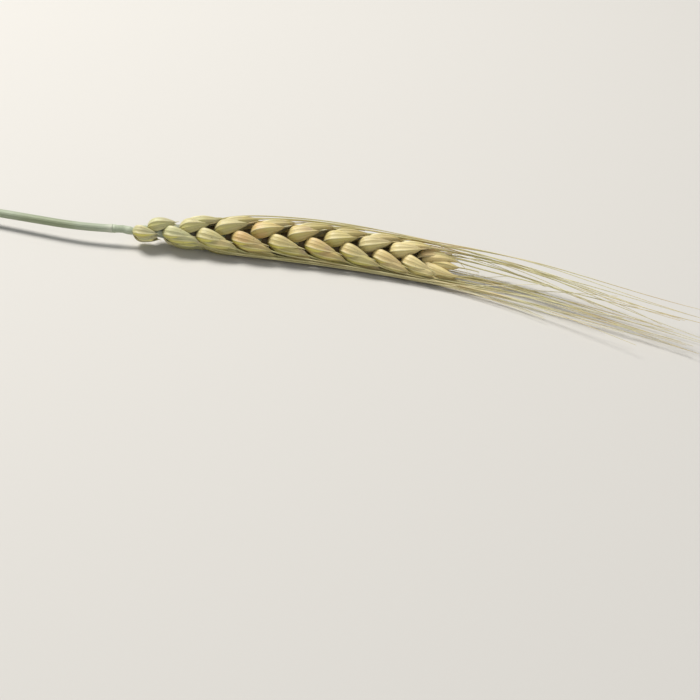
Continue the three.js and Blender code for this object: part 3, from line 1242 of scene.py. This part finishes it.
@dataclass(frozen=True)
class StemFinish:
    """The straw: grey-green with a whitish bloom, fine lines along it, and paler at collar and cut."""

    name: str = "glaucous_stem"
    green: Colour = linear(146, 154, 118)
    deep: Colour = linear(120, 130, 92)
    bloom: Colour = linear(192, 200, 182)
    collar: Colour = linear(204, 206, 186)
    pith: Colour = linear(214, 208, 170)
    line_shade: Colour = (0.84, 0.87, 0.8, 1.0)
    sheen: Colour = (0.85, 0.95, 0.9, 1.0)
    lines: float = 150.0
    line_edges: Range = (-0.2, 0.9)
    line_strength: float = 0.5
    streak_scale: float = 2.0
    streak_edges: Range = (0.3, 0.7)
    bloom_scale: float = 55.0
    bloom_edges: Range = (0.35, 0.68)
    bloom_strengths: Range = (0.15, 0.62)
    roughness: float = 0.5

    def make(self) -> bpy.types.Material:
        """Builds the material.

        Returns:
            The material.
        """
        s = Shader(self.name)
        _, across = s.uv()
        streak = s.noise(s.streaks(along=12.0, across=30.0), self.streak_scale, detail=3.0)
        patch = s.noise(s.place(), self.bloom_scale, detail=3.0)
        colour = s.mix(s.ease(streak, *self.streak_edges), self.deep, self.green)
        colour = s.mix(s.ease(patch, *self.bloom_edges, *self.bloom_strengths), colour, self.bloom)
        line = s.ease(s.maths("SINE", s.times(across, self.lines)), *self.line_edges)
        colour = s.mix(s.times(line, self.line_strength), colour, self.line_shade, "MULTIPLY")
        colour = s.mix(s.value("pale"), colour, self.collar)
        colour = s.mix(s.value("pith"), colour, self.pith)
        grooves = s.bump(line, distance=0.00004, strength=0.45)
        relief = s.bump(streak, distance=0.00004, strength=0.3, normal=grooves)
        s.set(Base_Color=colour, Roughness=self.roughness, Specular_IOR_Level=0.45, Normal=relief)
        s.set(Sheen_Weight=0.25, Sheen_Roughness=0.4, Sheen_Tint=self.sheen)
        return s.material


@dataclass(frozen=True)
class PlainFinish:
    """A dry plant finish with blotches and fine grain, for the rachis and the hairs."""

    name: str
    light: Colour
    dark: Colour
    deep: Colour
    roughness: float = 0.6
    scale: float = 400.0
    edges: Range = (0.3, 0.7)

    def make(self) -> bpy.types.Material:
        """Builds the material.

        Returns:
            The material.
        """
        s = Shader(self.name)
        grain = s.noise(s.place(), self.scale, detail=3.0)
        colour = s.mix(s.ease(grain, *self.edges), self.dark, self.light)
        # deep shows where tone is low: a tone of their own on the paleas, painted shade on the rachillas
        s.set(Base_Color=s.mix(s.value("tone"), self.deep, colour), Roughness=self.roughness)
        s.set(Normal=s.bump(grain, distance=0.00004, strength=0.3))
        return s.material


def dress(piece: bpy.types.Object, node: str) -> bpy.types.Object:
    """Makes a piece ride with the part and stand for a node, whose own part it hides.

    Args:
        piece: The piece.
        node: The node that it stands for.

    Returns:
        The piece.
    """
    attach(piece, BODY)
    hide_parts(node)
    LOG.info("%s: %d faces", piece.name, len(piece.data.polygons))
    return piece


def head_piece(parts: Sequence[Surface], name: str, material: bpy.types.Material) -> bpy.types.Object:
    """Several surfaces as one piece of the ear."""
    return dress(Surface.joined(parts).to_object(name, material), "head")


@dataclass(frozen=True)
class Tint:
    """How strong a tint of a husk is, mostly from 0 to 1.

    Attributes:
        use: What its draw is for.
        start: Its strength before anything is added.
        varied: What the full draw adds.
        varied_in_front: What the full draw adds on the rank that faces the camera.
        front: What that rank adds.
        behind: What being a lemma of the other rank adds, which paints those lemmas as in shade.
        low: What the lowest nodes add.
        high: What the uppermost nodes add.
        fading: The share of it that the uppermost nodes lose.
        most: The most that it reaches.
    """

    use: Use = Use.TONE
    start: float = 0.0
    varied: float = 0.0
    varied_in_front: float = 0.0
    front: float = 0.0
    behind: float = 0.0
    low: float = 0.0
    high: float = 0.0
    fading: float = 0.0
    most: float = 1.0

    def strength(self, mixed: float, front: float, behind: float, low: float, high: float) -> float:
        """The tint's strength: the sum of what adds to it, within its bounds, less what fades.

        Args:
            mixed: The husk's draw, from 0 to 1.
            front: 1 on the rank that faces the camera.
            behind: How far the husk is a lemma of the other rank, which is painted as in shade.
            low: How near it is to the bottom of the ear, 0 to 1.
            high: How near it is to the tip, 0 to 1.

        Returns:
            The strength.
        """
        own = self.start + (self.varied + self.varied_in_front * front) * mixed
        own += self.front * front + self.low * low + self.high * high
        return min(self.most, max(0.0, own) + self.behind * behind) * (1 - self.fading * high)


# behind is painted shade: it makes the lemmas of the rank away from the camera more tan and mauve grey, with
# less of the bright strip
TINTS = {
    "tone": Tint(Use.TONE, start=0.25, varied=0.45, front=0.12, behind=0.4, low=-0.1, most=1.2),
    "green": Tint(Use.GREEN, start=0.4, varied=0.4, low=0.2, fading=0.85),
    "blush": Tint(Use.BLUSH, start=-0.15, varied=0.7, front=0.1, low=-0.4),
    "mauve": Tint(Use.MAUVE, start=-0.1, varied=0.8, behind=0.5, fading=0.75),
    "pale": Tint(low=0.7),
    "cream": Tint(high=0.85),
    "strip": Tint(Use.STRIP, start=0.25, varied_in_front=0.35, front=0.4, behind=-0.25, fading=0.7),
}


@dataclass(frozen=True)
class Husks:
    """The glumes and lemmas as thin keeled shells, and the paleas inside the lemmas."""

    ear: Ear
    line: LyingLine
    awns: AwnPath
    rows: int = 28
    columns: int = 33
    first_row: float = 0.03
    shoulder_power: float = 1.6
    wrap_variation: float = 0.05
    wall: float = 0.13
    margin_wall: float = 0.05
    wall_power: int = 3
    least: float = 0.02
    keel_height: float = 1.15
    crest_height: float = 0.2
    crest_width: float = 0.09
    groove_depth: float = 0.07
    groove_angle: float = 0.3
    groove_width: float = 0.16
    rib_height: float = 0.038
    rib_width: float = 0.05
    ripple: float = 0.05
    ripple_along: Range = (7.0, -5.0)
    ripple_across: Range = (2.3, 3.1)
    glume_plumpness: float = 1.07
    low_plumpness: float = 1.2
    low_nodes: Range = (0.0, 5.0)
    bloom_nodes: Range = (1.0, 6.0)
    cream_nodes: Range = (11.0, 17.0)
    stunted_plumpness: float = 1.65
    awn_blend: Range = (0.7, 0.95)
    floor: float = 0.03
    inner_floor: float = 0.13
    softness: float = 0.02
    palea_rows: int = 16
    palea_sides: int = 14
    palea_ends: Range = (0.04, 0.93)
    palea_gap: Range = (0.22, 0.16)
    palea_least: float = 0.05
    palea_dent: float = 0.22
    palea_dent_width: float = 0.5
    palea_floor: float = 0.28

    def section(self, angle: Array, sharpness: float) -> Array:
        """How far a husk's section reaches at an angle from its keel, 1 for an ellipse.

        Args:
            angle: The angles from the keel.
            sharpness: 2 for an ellipse, and less for a roof with a sharper ridge.

        Returns:
            The radius of a superellipse against that of the ellipse.
        """
        c = np.abs(np.cos(angle)) + 1e-6
        s = np.abs(np.sin(angle)) + 1e-6
        return (c**sharpness + s**sharpness) ** (-1 / sharpness)

    def plumpness(self, husk: Husk) -> float:
        """How plump a husk is against its form: more towards the bottom, most in the lone lowest florets.

        Args:
            husk: The husk.

        Returns:
            The factor on its width and depth.
        """
        if husk.is_lemma and husk.node < self.ear.stunted:
            return self.stunted_plumpness
        full = 1.0 if husk.is_lemma else self.glume_plumpness
        return lerp(self.low_plumpness, full, float(smoothstep(husk.node, *self.low_nodes)))

    def relief(self, husk: Husk, u: Array, angle: Array) -> Array:
        """What stands out of a husk's section, in millimetres.

        Args:
            husk: The husk.
            u: The places along it.
            angle: The angles from its keel.

        Returns:
            The keel's crest with a groove on each side of it, a rib for each nerve, and a slow ripple from
            two slanting sine waves multiplied, which all fade as sin(pi u)^0.5 to base and tip.
        """
        fade = np.sin(np.pi * np.clip(u, 0, 1)) ** 0.5
        away = np.abs(angle)
        crest = self.crest_height * hump(angle, 0.0, self.crest_width)
        groove = self.groove_depth * hump(away, self.groove_angle, self.groove_width)
        ribs = np.radians(FORMS[husk.plan.kind].ribs)
        nerves = self.rib_height * sum(hump(away, rib, self.rib_width) for rib in ribs)
        phase = np.pi * draw(husk.number, Use.RIPPLE)
        waves = [
            np.sin(along * u + across * angle + start)
            for along, across, start in zip(self.ripple_along, self.ripple_across, (phase, 2 * phase))
        ]
        return (crest - groove + nerves + self.ripple * waves[0] * waves[1]) * fade

    def shell(self, husk: Husk) -> Surface:
        """One husk as a thin shell round its middle line.

        At t across, from -1 to 1, and s from base to tip, the point is u = s (1 - shoulder |t|^1.6) along
        the middle line, and t times the wrap round it, on a superellipse with the husk's width and depth
        there. The relief stands out of that. The inner face is the same, less the relief and the wall.

        Args:
            husk: The husk in its place.

        Returns:
            The closed shell.
        """
        form = FORMS[husk.plan.kind]
        s = (1 - np.cos(np.linspace(self.first_row, 1, self.rows) * np.pi)) / 2
        t = np.linspace(-1, 1, self.columns)
        u = s[:, None] * (1 - form.shoulder * np.abs(t) ** self.shoulder_power)
        wrap = np.radians(form.wrap) * (1 + self.wrap_variation * draw(husk.number, Use.WRAP))
        angle = np.broadcast_to(wrap * t, u.shape)
        centre = self.middle(husk, u)
        wide = np.cross(husk.back, husk.axis)
        girth = husk_width(u) * husk.scale * self.plumpness(husk) * self.section(angle, form.sharpness)
        rise = np.where(np.cos(angle) > 0, self.keel_height, form.belly)
        wall = lerp(self.wall, self.margin_wall, np.abs(t) ** self.wall_power)
        layers = []
        for inset, floor in ((-self.relief(husk, u, angle), self.floor), (wall, self.inner_floor)):
            width = np.maximum(girth * form.half_width - inset, self.least)
            depth = np.maximum(girth * form.half_depth * rise - inset, self.least)
            aside = wide * (np.sin(angle) * width)[..., None]
            out = husk.back * (np.cos(angle) * depth)[..., None]
            layers.append(self.line.settle(centre + (aside + out), floor, self.softness))
        # shaded: t, signed so that the flank which faces down as the ear lies is above 0, where the olive
        # painted shade goes
        flank = np.broadcast_to(t * np.sign(-wide[1]), u.shape).ravel()
        return leaf(*layers).with_values(shaded=np.tile(flank, 2), **self.tints(husk))

    def middle(self, husk: Husk, u: Array) -> Array:
        """The middle line of a husk. A lemma's tip turns into the line of its awn.

        Args:
            husk: The husk.
            u: Places from base, 0, to tip, 1.

        Returns:
            Points in straight-ear coordinates.
        """
        straight = husk.line(u)
        if not husk.plan.awn or husk.node < self.ear.stunted:
            return straight
        onward = self.awns.points(husk, (u - self.awns.root) * husk.length)
        return lerp(straight, onward, smoothstep(u, *self.awn_blend)[..., None])

    def tints(self, husk: Husk) -> dict[str, float]:
        """The tones of one husk, by its own draws and its place in the ear.

        Args:
            husk: The husk.

        Returns:
            The strength of each tint.
        """
        low = 1 - float(smoothstep(husk.node, *self.bloom_nodes))
        high = float(smoothstep(husk.node, *self.cream_nodes))
        front = 1.0 if self.ear.rank(husk.node) < 0 else 0.0
        # painted shade on the lemmas of the rank away from the camera, less towards the tip
        behind = (1.0 - high) if husk.is_lemma and not front else 0.0
        return {
            name: tint.strength(husk.mixed(tint.use), front, behind, low, high)
            for name, tint in TINTS.items()
        }

    def glumes(self) -> bpy.types.Object:
        """The glumes: short, strongly keeled, with a shoulder below the tip and four nerves on each flank.

        Returns:
            The piece.
        """
        shells = [self.shell(husk) for husk in self.ear.husks(Kind.GLUME)]
        finish = HuskFinish(
            name="glume_paper",
            grey_straw=linear(204, 192, 150),
            straw=linear(214, 196, 132),
            tan=linear(216, 186, 126),
            olive_shade=linear(178, 168, 96),
            strip=linear(226, 216, 108),
            blush=linear(214, 168, 112),
            mauve=linear(178, 156, 142),
            margin=linear(228, 216, 180),
            keel=linear(236, 226, 176),
        )
        return head_piece(shells, "glumes", finish.make())

    def lemmas(self) -> bpy.types.Object:
        """The lemmas: longer and rounder boats, whose tips draw out into the awns.

        Returns:
            The piece.
        """
        shells = [self.shell(husk) for husk in self.ear.husks(Kind.LEMMA)]
        finish = HuskFinish(
            name="lemma_paper",
            grey_straw=linear(192, 182, 130),
            straw=linear(204, 190, 122),
            # tan is darker than the glumes' because it also paints the shade on the lemmas of the rank away
            # from the camera
            tan=linear(188, 164, 108),
            olive_shade=linear(164, 158, 86),
            strip=linear(214, 206, 116),
            blush=linear(208, 170, 112),
            mauve=linear(172, 152, 132),
            margin=linear(226, 214, 174),
            keel=linear(230, 220, 160),
            nerves=20.0,
        )
        return head_piece(shells, "lemmas", finish.make())

    def paleas(self) -> bpy.types.Object:
        """The paleas: a plump closed boat inside each lemma, which shows between its margins.

        Returns:
            The piece.
        """
        form = FORMS[Kind.LEMMA]
        u = np.linspace(*self.palea_ends, self.palea_rows)
        angles = around(self.palea_sides)
        dent = 1 - self.palea_dent * hump(angles, np.pi, self.palea_dent_width)
        boats = []
        for husk in self.ear.husks(Kind.LEMMA):
            girth = husk_width(u) * husk.scale
            width = np.maximum((girth * form.half_width - self.palea_gap[0])[:, None], self.palea_least)
            depth = (girth * form.half_depth * form.belly - self.palea_gap[1])[:, None] * dent
            depth = np.maximum(depth, self.palea_least)
            rings = rings_along(self.middle(husk, u), husk.back, width, depth, angles)
            laid = self.line.settle(rings, self.palea_floor, self.softness)
            boats.append(tube(laid).with_values(tone=husk.mixed(Use.PALEA_TONE)))
        finish = PlainFinish(
            "palea_membrane",
            light=linear(206, 196, 150),
            dark=linear(176, 164, 108),
            deep=linear(150, 136, 84),
        )
        return head_piece(boats, "paleas", finish.make())


@dataclass(frozen=True)
class Beard:
    """The awns of the lemmas and the short beaks of the glumes."""

    ear: Ear
    line: LyingLine
    path: AwnPath
    sides: int = 6
    steps: int = 72
    step_power: float = 1.25
    root_radius: float = 0.21
    tip_radius: float = 0.06
    broken_radius: float = 0.17
    taper_power: float = 1.1
    wave: float = 0.55
    wave_lengths: Range = (17.0, 21.0)
    softness: float = 0.5
    beak_steps: int = 8
    beak_root: float = 0.9
    beak_length: float = 1.7
    beak_curl: float = 0.2
    beak_radii: Range = (0.27, 0.05)
    beak_floor: float = 0.1
    beak_softness: float = 0.02

    def awn(self, husk: Husk) -> Surface:
        """One awn: a bristle that tapers along its path, with a slow wave of its own.

        Args:
            husk: The lemma that it grows from.

        Returns:
            The closed bristle.
        """
        v = np.linspace(0, 1, self.steps) ** self.step_power
        distance = v * self.path.left(husk)
        points = self.path.points(husk, distance)
        phase = np.pi * draw(husk.node, Use.AWN_PHASE + husk.index)
        swing = self.wave * v * (1 + husk.mixed(Use.AWN_SWING))
        points[:, 1] += swing * np.sin(distance / self.wave_lengths[0] + phase)
        points[:, 2] += swing * np.cos(distance / self.wave_lengths[1] + phase)
        laid = self.line.settle(points, self.path.floor_of(husk), self.softness)
        tip_radius = self.broken_radius if self.path.is_broken(husk) else self.tip_radius
        radius = lerp(self.root_radius, tip_radius, v**self.taper_power)
        rings = rings_along(laid, Z_AXIS, radius, radius, around(self.sides))
        return tube(rings).with_values(tone=husk.mixed(Use.AWN_TONE))

    def beak(self, husk: Husk) -> Surface:
        """The short point on the tip of a glume, curled a little to its back as the square of the way.

        Args:
            husk: The glume.

        Returns:
            The closed point.
        """
        share = np.linspace(0, 1, self.beak_steps)
        reach = share * ((1 - self.beak_root) * husk.length + self.beak_length * husk.scale**3)
        curl = husk.back * (self.beak_curl * share**2)[:, None]
        line = husk.line(np.array(self.beak_root)) + husk.axis * reach[:, None] + curl
        radius = lerp(*self.beak_radii, share) * husk.scale
        rings = rings_along(line, husk.back, radius, radius, around(self.sides))
        laid = self.line.settle(rings, self.beak_floor, self.beak_softness)
        return tube(laid).with_values(tone=husk.mixed(Use.AWN_TONE))

    def build(self) -> bpy.types.Object:
        """All the awns and beaks as one piece.

        Returns:
            The piece.
        """
        bristles = [self.awn(husk) for husk in self.ear.awned()]
        bristles += [self.beak(husk) for husk in self.ear.husks(Kind.GLUME)]
        return head_piece(bristles, "awns", BristleFinish().make())


@dataclass(frozen=True)
class Rachis:
    """The zigzag axis of the ear with its collar, and the rachillas, the spikelets' own short stalks."""

    ear: Ear
    line: LyingLine
    half_width: float = 1.0
    half_depth: float = 0.85
    taper: float = 0.45
    low_width: float = 0.72
    low_nodes: Range = (0.0, 3.0)
    node_swell: float = 1.2
    swell_fade: float = 0.86
    straight_until: float = 2.6
    collar_start: float = -0.12
    collar_end: float = 3.5
    collar_rings: int = 50
    collar_step: float = 0.1
    collar_swell: float = 0.1
    collar_rises: tuple[Range, Range] = ((-0.2, 1.3), (0.5, 0.4))
    sides: int = 28
    rings: int = 200
    past_end: float = 1.5
    rachilla_rings: int = 10
    rachilla_sides: int = 10
    rachilla_radii: Range = (1.75, 0.8)
    rachilla_depth: float = 0.85
    rachilla_start: float = -1.0
    rachilla_end: float = 0.6
    # how light the lowest rachillas stay, and over which nodes they darken to the dark brown painted shade
    rachilla_tone: float = 0.7
    shadow_nodes: Range = (2.0, 5.0)
    rachilla_floor: float = 0.1
    softness: float = 0.02

    def axis(self, x: Array) -> Array:
        """The rachis's middle line: it steps towards each spikelet in turn.

        Args:
            x: Distances from the collar.

        Returns:
            Points in straight-ear coordinates.
        """
        nodes = np.concatenate([[0, self.straight_until], self.ear.node_x()])
        steps = [0.0, 0.0] + [self.ear.rank(k) * self.ear.zigzag for k in range(self.ear.nodes)]
        return np.stack([x, np.interp(x, nodes, steps), 0 * x], -1)

    def stalk(self) -> Surface:
        """The stalk: each internode widens to its node, and the collar swells round the stem's end.

        Returns:
            The closed stalk as it lies.
        """
        nodes = self.ear.node_x()
        collar = np.linspace(self.collar_start, self.collar_end, self.collar_rings)
        beyond = np.linspace(self.collar_end + self.collar_step, nodes[-1] + self.past_end, self.rings)
        x = np.concatenate([collar, beyond])
        stops = np.concatenate([[0], nodes])
        before = np.clip(np.searchsorted(stops, x, side="right") - 1, 0, len(stops) - 2)
        share = np.clip((x - stops[before]) / (stops[before + 1] - stops[before]), 0, 1)
        narrow = lerp(1.0, self.low_width, smoothstep(before, *self.low_nodes))
        swell = lerp(narrow, self.node_swell, share**2 * (1 - smoothstep(share, self.swell_fade, 1.0)))
        swell *= 1 - self.taper * x / self.line.ear_length
        more = self.collar_swell * sum(hump(x, middle, width) for middle, width in self.collar_rises)
        width = self.half_width * swell + more
        depth = self.half_depth * swell + more
        points = rings_along(self.axis(x), Z_AXIS, width, depth, around(self.sides))
        return tube(self.line.lay(points)).with_values(tone=1.0)

    def rachilla(self, node: int) -> Surface:
        """The short stalk inside a spikelet, from its node to its highest floret, darkening from the third
        spikelet up to a dark brown that is painted shade for the gaps between the husks.

        Args:
            node: The spikelet's number.

        Returns:
            The closed stalk as it lies.
        """
        top = self.ear.husk(node, MIDDLE_FLORET)
        aside = 0.5 * self.ear.rank(node) * self.ear.zigzag
        start = np.array([self.ear.node_x()[node] + self.rachilla_start, aside, 0.0])
        share = np.linspace(0, 1, self.rachilla_rings)
        line = lerp(start, top.base + top.axis * self.rachilla_end, share[:, None])
        radius = lerp(*self.rachilla_radii, share) * self.ear.size(node)
        rings = rings_along(line, Z_AXIS, radius, radius * self.rachilla_depth, around(self.rachilla_sides))
        # painted shade: the tone falls to 0 from the third to the sixth spikelet, which turns the rachilla
        # dark brown
        tone = self.rachilla_tone * (1 - float(smoothstep(node, *self.shadow_nodes)))
        return tube(self.line.settle(rings, self.rachilla_floor, self.softness)).with_values(tone=tone)

    def build(self) -> bpy.types.Object:
        """Stalk and rachillas as one piece.

        Returns:
            The piece.
        """
        parts = [self.stalk()]
        parts += [self.rachilla(node) for node in range(self.ear.stunted, self.ear.nodes)]
        finish = PlainFinish(
            "rachis_straw",
            light=linear(186, 194, 170),
            dark=linear(152, 163, 136),
            # deep: dark brown, painted shade for the gaps between the husks where the rachillas show
            deep=linear(84, 68, 38),
            scale=500.0,
        )
        return head_piece(parts, "rachis", finish.make())


@dataclass(frozen=True)
class Hairs:
    """The fine pale hairs: a fringe at each of the rachis's nodes."""

    ear: Ear
    line: LyingLine
    per_node: int = 22
    length: float = 0.95
    length_variation: float = 0.4
    radius: float = 0.022
    taper: tuple[float, ...] = (1.0, 0.7, 0.15)
    root_width: float = 0.9
    root_depth: float = 0.65
    spread: float = 0.5
    ahead: float = 0.9
    bend: float = 0.25
    floor: float = 0.05
    softness: float = 0.01
    askew: tuple[float, float, float] = (0.31, 0.52, 0.79)

    def tufts(self) -> Surface:
        """Hairs at every node, fanned to both sides and a little up the ear.

        Returns:
            One surface with three-sided cones.
        """
        node = np.repeat(np.arange(self.ear.nodes), self.per_node)
        number = np.arange(len(node))
        rank = np.where(node % 2, 1, -1)
        turn = np.pi * draws(number, Use.HAIR_TURN)
        aside = np.stack([0 * turn, np.cos(turn), np.sin(turn)], -1)
        along = self.ear.node_x()[node] + self.spread * draws(number, Use.HAIR_ROOT)
        root = np.stack([along, rank * self.ear.zigzag, 0 * turn], -1)
        root = root + aside * np.array([0, self.root_width, self.root_depth])
        ahead = self.ahead + self.spread * draws(number, Use.HAIR_AHEAD)
        direction = unit(aside + np.stack([ahead, 0 * turn, 0 * turn], -1))
        length = self.length * (1 + self.length_variation * draws(number, Use.HAIR_LENGTH))
        return self.cones(root, direction, length)

    def cones(self, root: Array, direction: Array, length: Array) -> Surface:
        """Three-sided hairs as one surface.

        Args:
            root: Where each grows from, n by 3.
            direction: Where each points, n by 3.
            length: How long each is.

        Returns:
            The hairs. A hair's point at share t is root + direction t length, bent up the ear by t squared.
        """
        share = np.linspace(0, 1, len(self.taper))
        bend = np.array([self.bend, 0.0, 0.0]) * (share**2)[:, None]
        middle = root[:, None] + (direction * length[:, None])[:, None] * share[:, None] + bend
        side = unit(np.cross(direction, self.askew))
        other = np.cross(direction, side)
        angles = around(3)
        across = side[:, None] * np.cos(angles)[:, None] + other[:, None] * np.sin(angles)[:, None]
        radius = self.radius * np.array(self.taper)
        points = middle[:, :, None] + across[:, None] * radius[:, None, None]
        laid = self.line.settle(points, self.floor, self.softness)
        return Surface.joined([tube(hair) for hair in laid])

    def build(self) -> bpy.types.Object:
        """The hairs as one piece.

        Returns:
            The piece.
        """
        finish = PlainFinish(
            "pale_hair",
            light=linear(232, 228, 206),
            dark=linear(214, 208, 180),
            deep=linear(196, 186, 150),
            roughness=0.5,
        )
        return head_piece([self.tufts().with_values(tone=1.0)], "hairs", finish.make())


@dataclass(frozen=True)
class Stem:
    """The straw: a thin ribbed stalk, hollow where it is cut, up to its collar."""

    line: LyingLine
    cut_radius: float = 1.25
    collar_radius: float = 1.05
    end: float = -0.15
    end_swell: float = 0.12
    end_swell_reach: float = 0.9
    bore_radius: float = 0.62
    bore_depth: float = 9.0
    bore_rings: int = 12
    ribs: int = 16
    rib_height: float = 0.018
    rim_ribs: tuple[float, ...] = (0.6, 0.2, 0.0)
    rim_rounding: Range = (0.06, 0.05)
    rim_inset: Range = (0.07, 0.06)
    bore_start: float = 0.4
    ragged: Range = (0.05, 0.03)
    ragged_waves: tuple[int, int] = (5, 13)
    ragged_reach: float = 0.25
    pale: float = 0.7
    pale_reach: float = 1.6
    sides: int = 64
    rings: int = 150
    floor: float = 0.005
    softness: float = 0.0001

    def profile(self) -> tuple[Array, Array, Array]:
        """The stem's outline: up its outside to the cut, over the rim and down the bore.

        Returns:
            The distance along the stem, the radius there, and how far the ribs show there.
        """
        start = -self.line.stem_length
        outside = np.linspace(self.end, start + self.rim_rounding[0], self.rings)
        rim = [start, start, start + self.rim_rounding[1]]
        inside = np.linspace(start + self.bore_start, start + self.bore_depth, self.bore_rings)
        x = np.concatenate([outside, rim, inside])
        share = (outside - start) / self.line.stem_length
        swell = self.end_swell * hump(outside, self.end, self.end_swell_reach)
        outer = lerp(self.cut_radius, self.collar_radius, share) + swell
        rim_outer = self.cut_radius - self.rim_inset[0]
        rim_radius = [rim_outer, self.bore_radius + self.rim_inset[1], self.bore_radius]
        radius = np.concatenate([outer, rim_radius, np.full(self.bore_rings, self.bore_radius)])
        shown = np.concatenate([np.ones(self.rings), self.rim_ribs, np.zeros(self.bore_rings)])
        return x, radius, shown

    def build(self) -> bpy.types.Object:
        """The stem as one closed piece: its profile turned round, with ribs and a slightly ragged cut.

        Returns:
            The piece, which replaces the stem's node.
        """
        x, radius, shown = self.profile()
        angles = -around(self.sides)
        ribbed = radius[:, None] + self.rib_height * np.cos(self.ribs * angles) * shown[:, None]
        coarse, fine = self.ragged_waves
        ragged = self.ragged[0] * np.sin(coarse * angles + 1) + self.ragged[1] * np.sin(fine * angles)
        near_cut = hump(x, -self.line.stem_length, self.ragged_reach)
        along = x[:, None] + np.abs(ragged) * near_cut[:, None]
        points = np.stack([along, ribbed * np.cos(angles), ribbed * np.sin(angles)], -1)
        surface = tube(self.line.settle(points, self.floor, self.softness))
        pale = self.pale * hump(x, 0.0, self.pale_reach)
        surface.with_values(pale=np.repeat(pale, self.sides), pith=np.repeat(1 - shown, self.sides))
        return dress(surface.to_object("stem_straw", StemFinish().make()), "stem")


@dataclass(frozen=True)
class Lamp:
    """A square soft light: its place and width in metres, its power in watts and its colour."""

    name: str
    place: tuple[float, float, float]
    width: float
    power: float
    colour: tuple[float, float, float]


WINDOW = Lamp("window", place=(-0.5, 0.42, 1.0), width=0.5, power=18.0, colour=(1.0, 0.98, 0.94))
FILL = Lamp("fill", place=(0.5, -0.9, 0.6), width=0.9, power=2.5, colour=(0.95, 0.97, 1.0))


@dataclass(frozen=True)
class Studio:
    """The pale floor, the soft light and the camera at the photograph's viewing angle."""

    line: LyingLine
    elevation: float = math.radians(32)
    roll: float = math.radians(3.4)
    lens: float = 103.0
    sensor: float = 36.0
    frame_pixels: float = 700.0
    collar_pixel: tuple[float, float] = (113.0, 228.5)
    collar_depth: float = 533.0
    floor_size: float = 3.0
    floor_colour: Colour = linear(206, 203, 198)
    sky: Colour = (0.92, 0.96, 1.0, 1.0)
    sky_strength: float = 0.27
    aim: tuple[float, float, float] = (0.0, -0.01, 0.0)
    clip_start: float = 0.01

    def floor(self) -> None:
        """A large flat floor at height 0."""
        half = self.floor_size / 2
        corners = [(-half, -half, 0), (half, -half, 0), (half, half, 0), (-half, half, 0)]
        mesh = bpy.data.meshes.new("floor")
        mesh.from_pydata(corners, [], [(0, 1, 2, 3)])
        s = Shader("pale_floor")
        s.set(Base_Color=self.floor_colour, Roughness=0.8, Specular_IOR_Level=0.2)
        mesh.materials.append(s.material)
        floor = bpy.data.objects.new("floor", mesh)
        bpy.context.scene.collection.objects.link(floor)

    def hang(self, lamp: Lamp) -> None:
        """Hangs a lamp in its place, turned to the ear.

        Args:
            lamp: The lamp.
        """
        data = bpy.data.lights.new(lamp.name, "AREA")
        data.size = lamp.width
        data.energy = lamp.power
        data.color = lamp.colour
        light = bpy.data.objects.new(lamp.name, data)
        light.location = lamp.place
        light.rotation_euler = (Vector(self.aim) - Vector(lamp.place)).to_track_quat("-Z", "Y").to_euler()
        bpy.context.scene.collection.objects.link(light)

    def light(self) -> None:
        """A large soft light from behind and to the left, a weak one in front, and a pale sky."""
        self.hang(WINDOW)
        self.hang(FILL)
        world = bpy.data.worlds.new("sky")
        bpy.context.scene.world = world
        world.use_nodes = True
        background = world.node_tree.nodes["Background"]
        background.inputs["Color"].default_value = self.sky
        background.inputs["Strength"].default_value = self.sky_strength
        bpy.context.scene.view_settings.view_transform = "Standard"

    def camera(self) -> None:
        """The camera: it looks along +Y and down, and stands where the collar falls on its pixel."""
        forward = np.array([0.0, math.cos(self.elevation), -math.sin(self.elevation)])
        level = np.array([1.0, 0.0, 0.0])
        upright = np.cross(level, forward)
        right = math.cos(self.roll) * level + math.sin(self.roll) * upright
        up = math.cos(self.roll) * upright - math.sin(self.roll) * level
        focal = self.lens / self.sensor * self.frame_pixels
        middle = self.frame_pixels / 2
        across = (self.collar_pixel[0] - middle) / focal
        down = (self.collar_pixel[1] - middle) / focal
        collar = self.line.lay(np.zeros(3))
        place = (collar - (forward + right * across - up * down) * self.collar_depth) * MM
        data = bpy.data.cameras.new("camera")
        data.sensor_width = self.sensor
        data.lens = self.lens
        data.clip_start = self.clip_start
        camera = bpy.data.objects.new("camera", data)
        rows = [(right[i], up[i], -forward[i], place[i]) for i in range(3)]
        camera.matrix_world = Matrix([*rows, (0, 0, 0, 1)])
        bpy.context.scene.collection.objects.link(camera)
        bpy.context.scene.camera = camera

    def build(self) -> None:
        """Floor, light and camera."""
        self.floor()
        self.light()
        self.camera()


def main() -> None:
    """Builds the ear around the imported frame."""
    logging.basicConfig(level=logging.INFO, format="%(name)s %(message)s")
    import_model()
    line = LyingLine()
    ear = Ear()
    awns = AwnPath(ear.nodes)
    Studio(line).build()
    husks = Husks(ear, line, awns)
    husks.glumes()
    husks.lemmas()
    husks.paleas()
    Beard(ear, line, awns).build()
    Rachis(ear, line).build()
    Hairs(ear, line).build()
    Stem(line).build()


if __name__ == "__main__":
    main()
